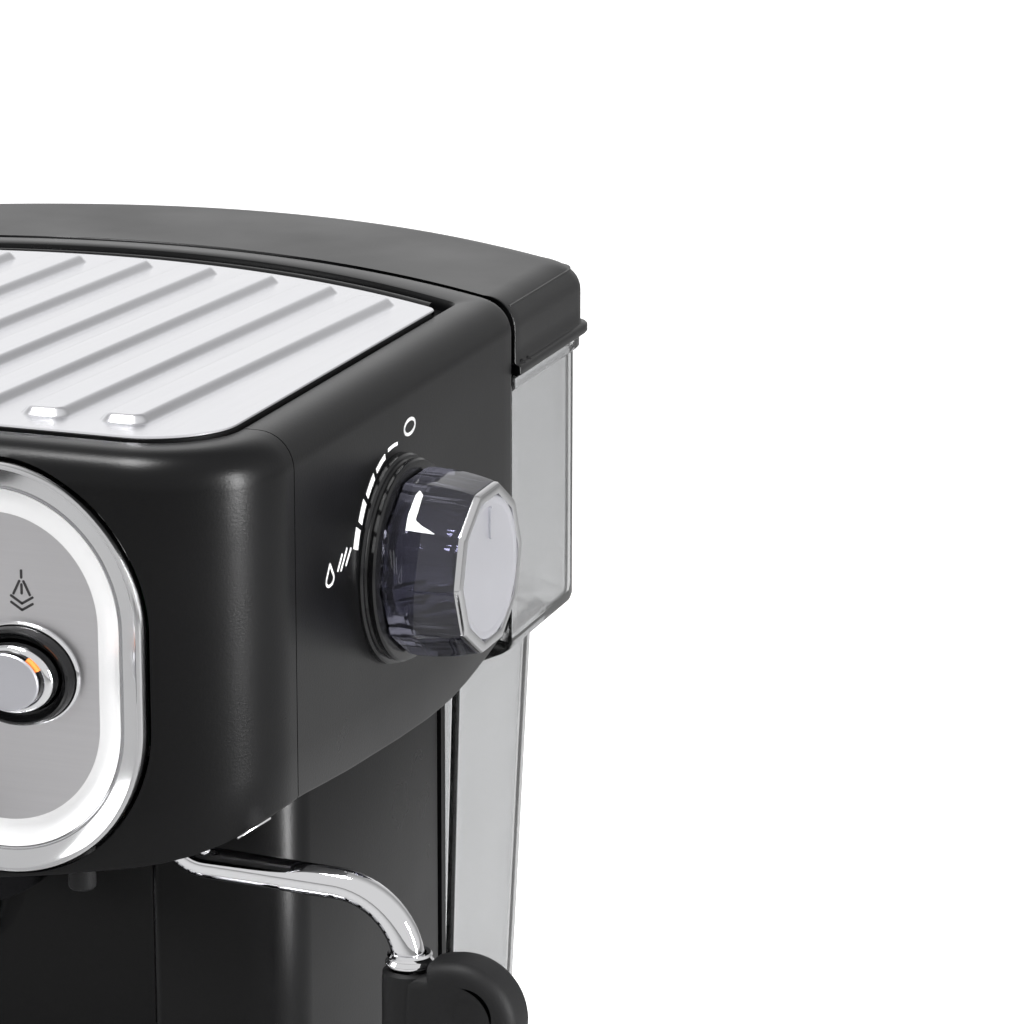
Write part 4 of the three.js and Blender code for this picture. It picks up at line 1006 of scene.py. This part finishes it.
TRAY_PLAN = bay_plan(TRAY_FRONT, (SPLIT_Y, SPLIT_Y), TONGUE_HALF, TONGUE_Y)
TRAY_REACH = [TRAY_CORNER] * 2 + [1.2, 3, 3, 3, 3, 1.2]
drip = Form().skin(stacked(TRAY_PLAN, TRAY_REACH, [
    (3.0, 12.35), (1.2, 12.7), (0.3, 13.6), (0, 15.0), (0, 35), (0, 55.9), (0.25, 57.1), (0.9, 57.8),
    (1.6, BASE_TOP), (2.5, BASE_TOP), (3.0, 57.6), (3.1, 55.1), (5.6, 54.9), (6.0, 54.4), (6.1, 17.5),
    (6.6, 16.0), (8.0, 15.3)]))
piece("drip_tray_body", drip, SHELL_BLACK, "drip_tray", ["drip_tray"], 38)
plate = Form().skin(stacked(TRAY_PLAN, TRAY_REACH, [(4.2, 55.6), (3.6, 55.9), (3.5, 57.3), (3.8, 57.85),
                                                    (4.6, BASE_TOP)]))
grid = piece("drip_grid_plate", plate, PLATE_STEEL, "drip_grid", ["drip_grid"])
slots = Form()
for i in range(11):
    x = (i - 5) * 18.0
    rear = TONGUE_Y - 14 if abs(x) < TONGUE_HALF - 10 else SPLIT_Y - 12
    slots.skin(stacked([(x - 2.5, -98), (x + 2.5, -98), (x + 2.5, rear), (x - 2.5, rear)], 2.45,
                       [(0, 50), (0, 62)]))
carve(grid, slots)

for node in (f"foot_{row}_{hand}" for row in ("front", "rear") for hand in ("left", "right")):
    low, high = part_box(node)
    middle = ((low.x + high.x) / 2 / MM - DATUM[0], (low.y + high.y) / 2 / MM - DATUM[1], 0)
    foot = turned([(1.0, 0.25), (3.2, 0.2), (3.8, 0.02), (8.6, 0.0), (9.6, 0.4), (10.4, 1.3), (11, 2.8),
                   (11, 7.2), (10.6, 7.65), (1.0, 7.7)], middle, "z", 40)
    piece(f"{node}_pad", foot, RUBBER, "body", [node], 40)


stud = turned([(0.5, 192.0), (2.4, 192.0), (2.9, 192.5), (3.0, 193.2), (3.0, 202.0), (0.5, 202.0)],
              (79.7, -80, 0), "z", 32)
piece("head_stud", stud, GRIP_BLACK, "body")


def corner_trim():
    """A fine polished bead under the front corner's lower edge: a small round section carried
    round the corner's arc."""
    turn = np.radians(np.linspace(55, 75, 24))
    middle = side_x(HEAD_FRONT + HEAD_CORNER) - HEAD_CORNER * math.hypot(1, LEAN)
    b = np.linspace(0, 2 * np.pi, 10, endpoint=False)
    reach = 26.3 + 0.35 * np.cos(b)
    x = middle + np.outer(np.sin(turn), reach)
    y = HEAD_FRONT + HEAD_CORNER - np.outer(np.cos(turn), reach)
    z = head_foot(np.column_stack([x[:, 0], y[:, 0]]))[:, None] - 0.1 + 0.35 * np.sin(b)
    return Form().skin(np.stack([x, y, z], -1))


piece("head_corner_bead", corner_trim(), CHROME, "body", crease=60)


# ---- Brew group and filter holder ------------------------------------------------------------
group = turned([(1.0, 188.4), (40.0, 188.4), (40.8, 187.8), (40.8, 178.2), (40.2, 177.5), (36.8, 177.5),
                (36.2, 177.0), (36.2, 172.8), (36.8, 172.1), (42.0, 172.0), (42.8, 172.5), (43, 173.4),
                (43, 178.6), (42.4, 179.2), (42.4, 180.4), (43, 181.0), (43, 200.6), (42.2, 201.8),
                (41, 202), (1.0, 202)],
               (0, GROUP_Y, 0), "z", 120)
piece("brew_group", group, GLOSS_BLACK, "body", ["group_head"], 32)


def holder():
    """The filter holder: a turned bowl with eased rims, two bayonet ears made of a small rounded
    section swept over an arc, and a waisted neck that reaches the handle."""
    bowl = [(3.9, 156.3), (3.9, 152.9), (4.5, 152.2), (12, 152.0), (22, 153.6), (29.6, 156.2), (32.6, 158.8),
            (34.4, 162.4), (35, 166), (35, 175.6), (34.7, 176.1), (35, 176.6), (35, 182.2), (34.5, 182.9),
            (33.8, 183), (30.2, 183), (29.6, 182.6), (29.6, 161), (28.4, 160.0), (5, 156.8)]
    form = turned(bowl, (0, GROUP_Y, 0), "z", 112, caps="")
    section = eased([(34.0, 178.5), (39.8, 178.5), (39.8, 183), (34.0, 183)], 0.7, 4)
    a = np.radians(np.linspace(-22, 22, 22))
    for turn in (0, np.pi):
        form.skin(np.stack([np.outer(np.cos(a + turn), section[:, 0]),
                            GROUP_Y + np.outer(np.sin(a + turn), section[:, 0]),
                            np.tile(section[:, 1], (len(a), 1))], -1))
    y = np.linspace(-61.5, -79.2, 16)
    wide = 7.0 + 2.2 * np.linspace(1, 0, 16) ** 2
    loop = eased([(-1, -1), (1, -1), (1, 1), (-1, 1)], 0.55, 6)
    rows = np.stack([np.outer(wide, loop[:, 0]), np.repeat(y[:, None], len(loop), 1),
                     167 + np.outer(4 + (wide - 7) * 0.5, loop[:, 1])], -1)
    return form.skin(rows)


piece("filter_holder_bowl", holder(), CHROME, "filter_holder", ["filter_holder"], 34)
ferrule = turned([(1.0, -79.4), (11.0, -79.4), (11.8, -80.0), (12.1, -81), (12.1, -82.2), (11.7, -82.6),
                  (12.1, -83.0), (12.1, -85.6), (11.7, -86.2), (1.0, -86.2)], (0, 0, HANDLE_Z), "y", 64)
piece("handle_ring", ferrule, CHROME, "filter_holder", ["handle_ferrule"], 34)


def handle():
    """The handle: oval sections along its length whose size follows a smooth curve through a
    short table, closing in a round end, with the palm side a little fuller."""
    table_s = [0, 2, 8, 20, 38, 58, 76, 88, 94, 98, 100.4, 101]
    table_r = [11.2, 11.8, 11.6, 10.9, 11.2, 12.2, 12.9, 12.6, 11.4, 8.9, 5.2, 1.2]
    s = np.concatenate([np.linspace(0, 84, 40), 84 + 17 * np.sin(np.linspace(0.05, 1, 20) * np.pi / 2)])
    r = np.interp(s, table_s, table_r)
    kernel = np.array([1, 2, 3, 2, 1]) / 9
    r[2:-2] = np.convolve(r, kernel, "valid")
    a = np.linspace(0, 2 * np.pi, 72, endpoint=False)
    full = 1 + 0.05 * np.maximum(-np.sin(a), 0)[None] * np.sin(np.clip(s / 90, 0, 1) * np.pi)[:, None]
    rows = np.stack([r[:, None] * np.cos(a) * 0.97, np.repeat(-86.6 - s[:, None], len(a), 1),
                     HANDLE_Z + r[:, None] * full * np.sin(a)], -1)
    return Form().skin(rows)


piece("holder_handle_grip", handle(), SHELL_BLACK, "filter_holder", ["filter_holder_handle"],
      50)


def spouts():
    """Twin spouts: a turned boss under the bowl and two tubes that lean out and then drop."""
    form = turned([(2, 151.7), (8.6, 151.7), (9, 151.3), (9, 147.4), (8.2, 146.2), (6.5, 145.8), (2, 145.8)],
                  (0, GROUP_Y, 0), "z", 48)
    for side in (-1, 1):
        line = [(side * x, GROUP_Y, z) for x, z in ((0, 149.5), (5, 146.4), (13, 142.4), (13, 134))]
        path = eased(line, [0, 2.5, 4.5, 0], 10, closed=False)
        tube(path, np.linspace(4.6, 4.2, len(path)), form, 32, bore=3.2, bore_rows=6)
    return form


piece("spout_pair", spouts(), CHROME, "filter_holder", ["twin_spout"], 40)
gland = turned([(1, 170.4), (6.6, 170.4), (7, 170.8), (7, 172.8), (6.6, 173.3), (5.6, 173.5), (5.2, 176),
                (4.8, 179), (4.3, 181.8), (3.6, 182.2), (1, 182.3)], (0, 0, 26), "y", 40)
piece("cord_gland_boot", gland, RUBBER, "body", ["cord_gland"], 40)


# ---- Studio ----------------------------------------------------------------------------------
scene = bpy.context.scene
scene.view_settings.view_transform = "Standard"


def studio_world():
    """A white surround: brighter behind and above the machine than in front of it."""
    world = bpy.data.worlds.new("studio")
    scene.world = world
    world.use_nodes = True
    tree = world.node_tree
    tree.nodes.clear()
    out = tree.nodes.new("ShaderNodeOutputWorld")
    mixed = tree.nodes.new("ShaderNodeMixShader")
    seen, lit = tree.nodes.new("ShaderNodeBackground"), tree.nodes.new("ShaderNodeBackground")
    seen.inputs["Color"].default_value = (1, 1, 1, 1)
    path = tree.nodes.new("ShaderNodeLightPath")
    where, facing = tree.nodes.new("ShaderNodeTexCoord"), tree.nodes.new("ShaderNodeVectorMath")
    facing.operation = "DOT_PRODUCT"
    facing.inputs[1].default_value = (-0.59, 0.79, 0.12)
    spread, ramp = tree.nodes.new("ShaderNodeMapRange"), tree.nodes.new("ShaderNodeValToRGB")
    spread.inputs["From Min"].default_value = -1.0
    ramp.color_ramp.interpolation = "EASE"
    for at, level in ((0.0, 0.72), (0.45, 0.72), (0.76, 0.34), (0.86, 0.56), (0.965, 0.98)):
        stop = ramp.color_ramp.elements.new(at)
        stop.color = (level, level, level, 1)
    ramp.color_ramp.elements.remove(ramp.color_ramp.elements[0])
    ramp.color_ramp.elements.remove(ramp.color_ramp.elements[-1])
    join(tree, ((where, "Generated"), (facing, 0)), ((facing, "Value"), (spread, "Value")),
         ((spread, "Result"), (ramp, "Fac")), ((ramp, "Color"), (lit, "Color")),
         ((path, "Is Camera Ray"), (mixed, "Fac")), ((lit, "Background"), (mixed, 1)),
         ((seen, "Background"), (mixed, 2)), ((mixed, "Shader"), (out, "Surface")))


studio_world()


def softbox(name, where, towards, size, watts):
    """A rectangular lamp at a point, turned to face another point."""
    data = bpy.data.lights.new(name, "AREA")
    data.shape, data.size, data.size_y, data.energy = "RECTANGLE", size[0], size[1], watts
    lamp = bpy.data.objects.new(name, data)
    scene.collection.objects.link(lamp)
    lamp.location = where
    lamp.rotation_euler = (Vector(towards) - Vector(where)).to_track_quat("-Z", "Y").to_euler()
    return lamp


softbox("overhead", (-0.30, -0.35, 1.5), (0, 0, 0.2), (0.5, 0.4), 22)
softbox("right_strip", (1.6, -0.1, 0.35), (0, 0, 0.2), (0.22, 1.2), 42)
softbox("left_fill", (-1.45, -0.85, 0.35), (0, 0, 0.15), (0.8, 0.7), 5)

FLOOR_REACH, FLOOR_COUNT = 14, 96
turn = np.linspace(0, 2 * np.pi, FLOOR_COUNT, endpoint=False)
floor_edge = np.column_stack([FLOOR_REACH * np.cos(turn), FLOOR_REACH * np.sin(turn), np.zeros(FLOOR_COUNT)])
floor_mesh = bpy.data.meshes.new("studio_floor")
floor_mesh.from_pydata(floor_edge.tolist(), [], [list(range(FLOOR_COUNT))])
studio_floor = bpy.data.objects.new("studio_floor", floor_mesh)
scene.collection.objects.link(studio_floor)


def floor_paint():
    """Pale matt floor that mirrors only dimly in polished parts."""
    made = bpy.data.materials.new("pale_floor")
    made.use_nodes = True
    tree = made.node_tree
    tree.nodes.clear()
    out = tree.nodes.new("ShaderNodeOutputMaterial")
    matt, glow = tree.nodes.new("ShaderNodeBsdfDiffuse"), tree.nodes.new("ShaderNodeEmission")
    matt.inputs["Color"].default_value = (0.86, 0.86, 0.86, 1)
    glow.inputs["Color"].default_value = (1, 1, 1, 1)
    both, dimmed = tree.nodes.new("ShaderNodeAddShader"), tree.nodes.new("ShaderNodeMixShader")
    dark = tree.nodes.new("ShaderNodeBsdfDiffuse")
    dark.inputs["Color"].default_value = (0.40, 0.40, 0.40, 1)
    path, looked_at = tree.nodes.new("ShaderNodeLightPath"), tree.nodes.new("ShaderNodeMath")
    looked_at.operation = "MAXIMUM"
    level = tree.nodes.new("ShaderNodeMapRange")
    level.inputs["To Min"].default_value, level.inputs["To Max"].default_value = 0.03, 0.55
    join(tree, ((path, "Is Camera Ray"), (looked_at, 0)),
         ((path, "Is Transmission Ray"), (looked_at, 1)), ((looked_at, "Value"), (level, "Value")),
         ((level, "Result"), (glow, "Strength")), ((path, "Is Glossy Ray"), (dimmed, "Fac")),
         ((matt, 0), (dimmed, 1)), ((dark, 0), (dimmed, 2)), ((dimmed, 0), (both, 0)),
         ((glow, 0), (both, 1)), ((both, 0), (out, "Surface")))
    return made


floor_mesh.materials.append(floor_paint())

camera_data = bpy.data.cameras.new("camera")
CAMERA_LENS, CAMERA_TURN, CAMERA_DIP = 151.875, 21.3, 14.2
camera_data.lens, camera_data.sensor_width = CAMERA_LENS, 36.0
camera_data.clip_start, camera_data.clip_end = 0.05, 60.0
camera = bpy.data.objects.new("camera", camera_data)
scene.collection.objects.link(camera)
camera.location = place((482.3, -860.5, 495.7))
camera.rotation_euler = (math.radians(90 - CAMERA_DIP), 0, math.radians(CAMERA_TURN))
scene.camera = camera

bpy.context.view_layer.update()
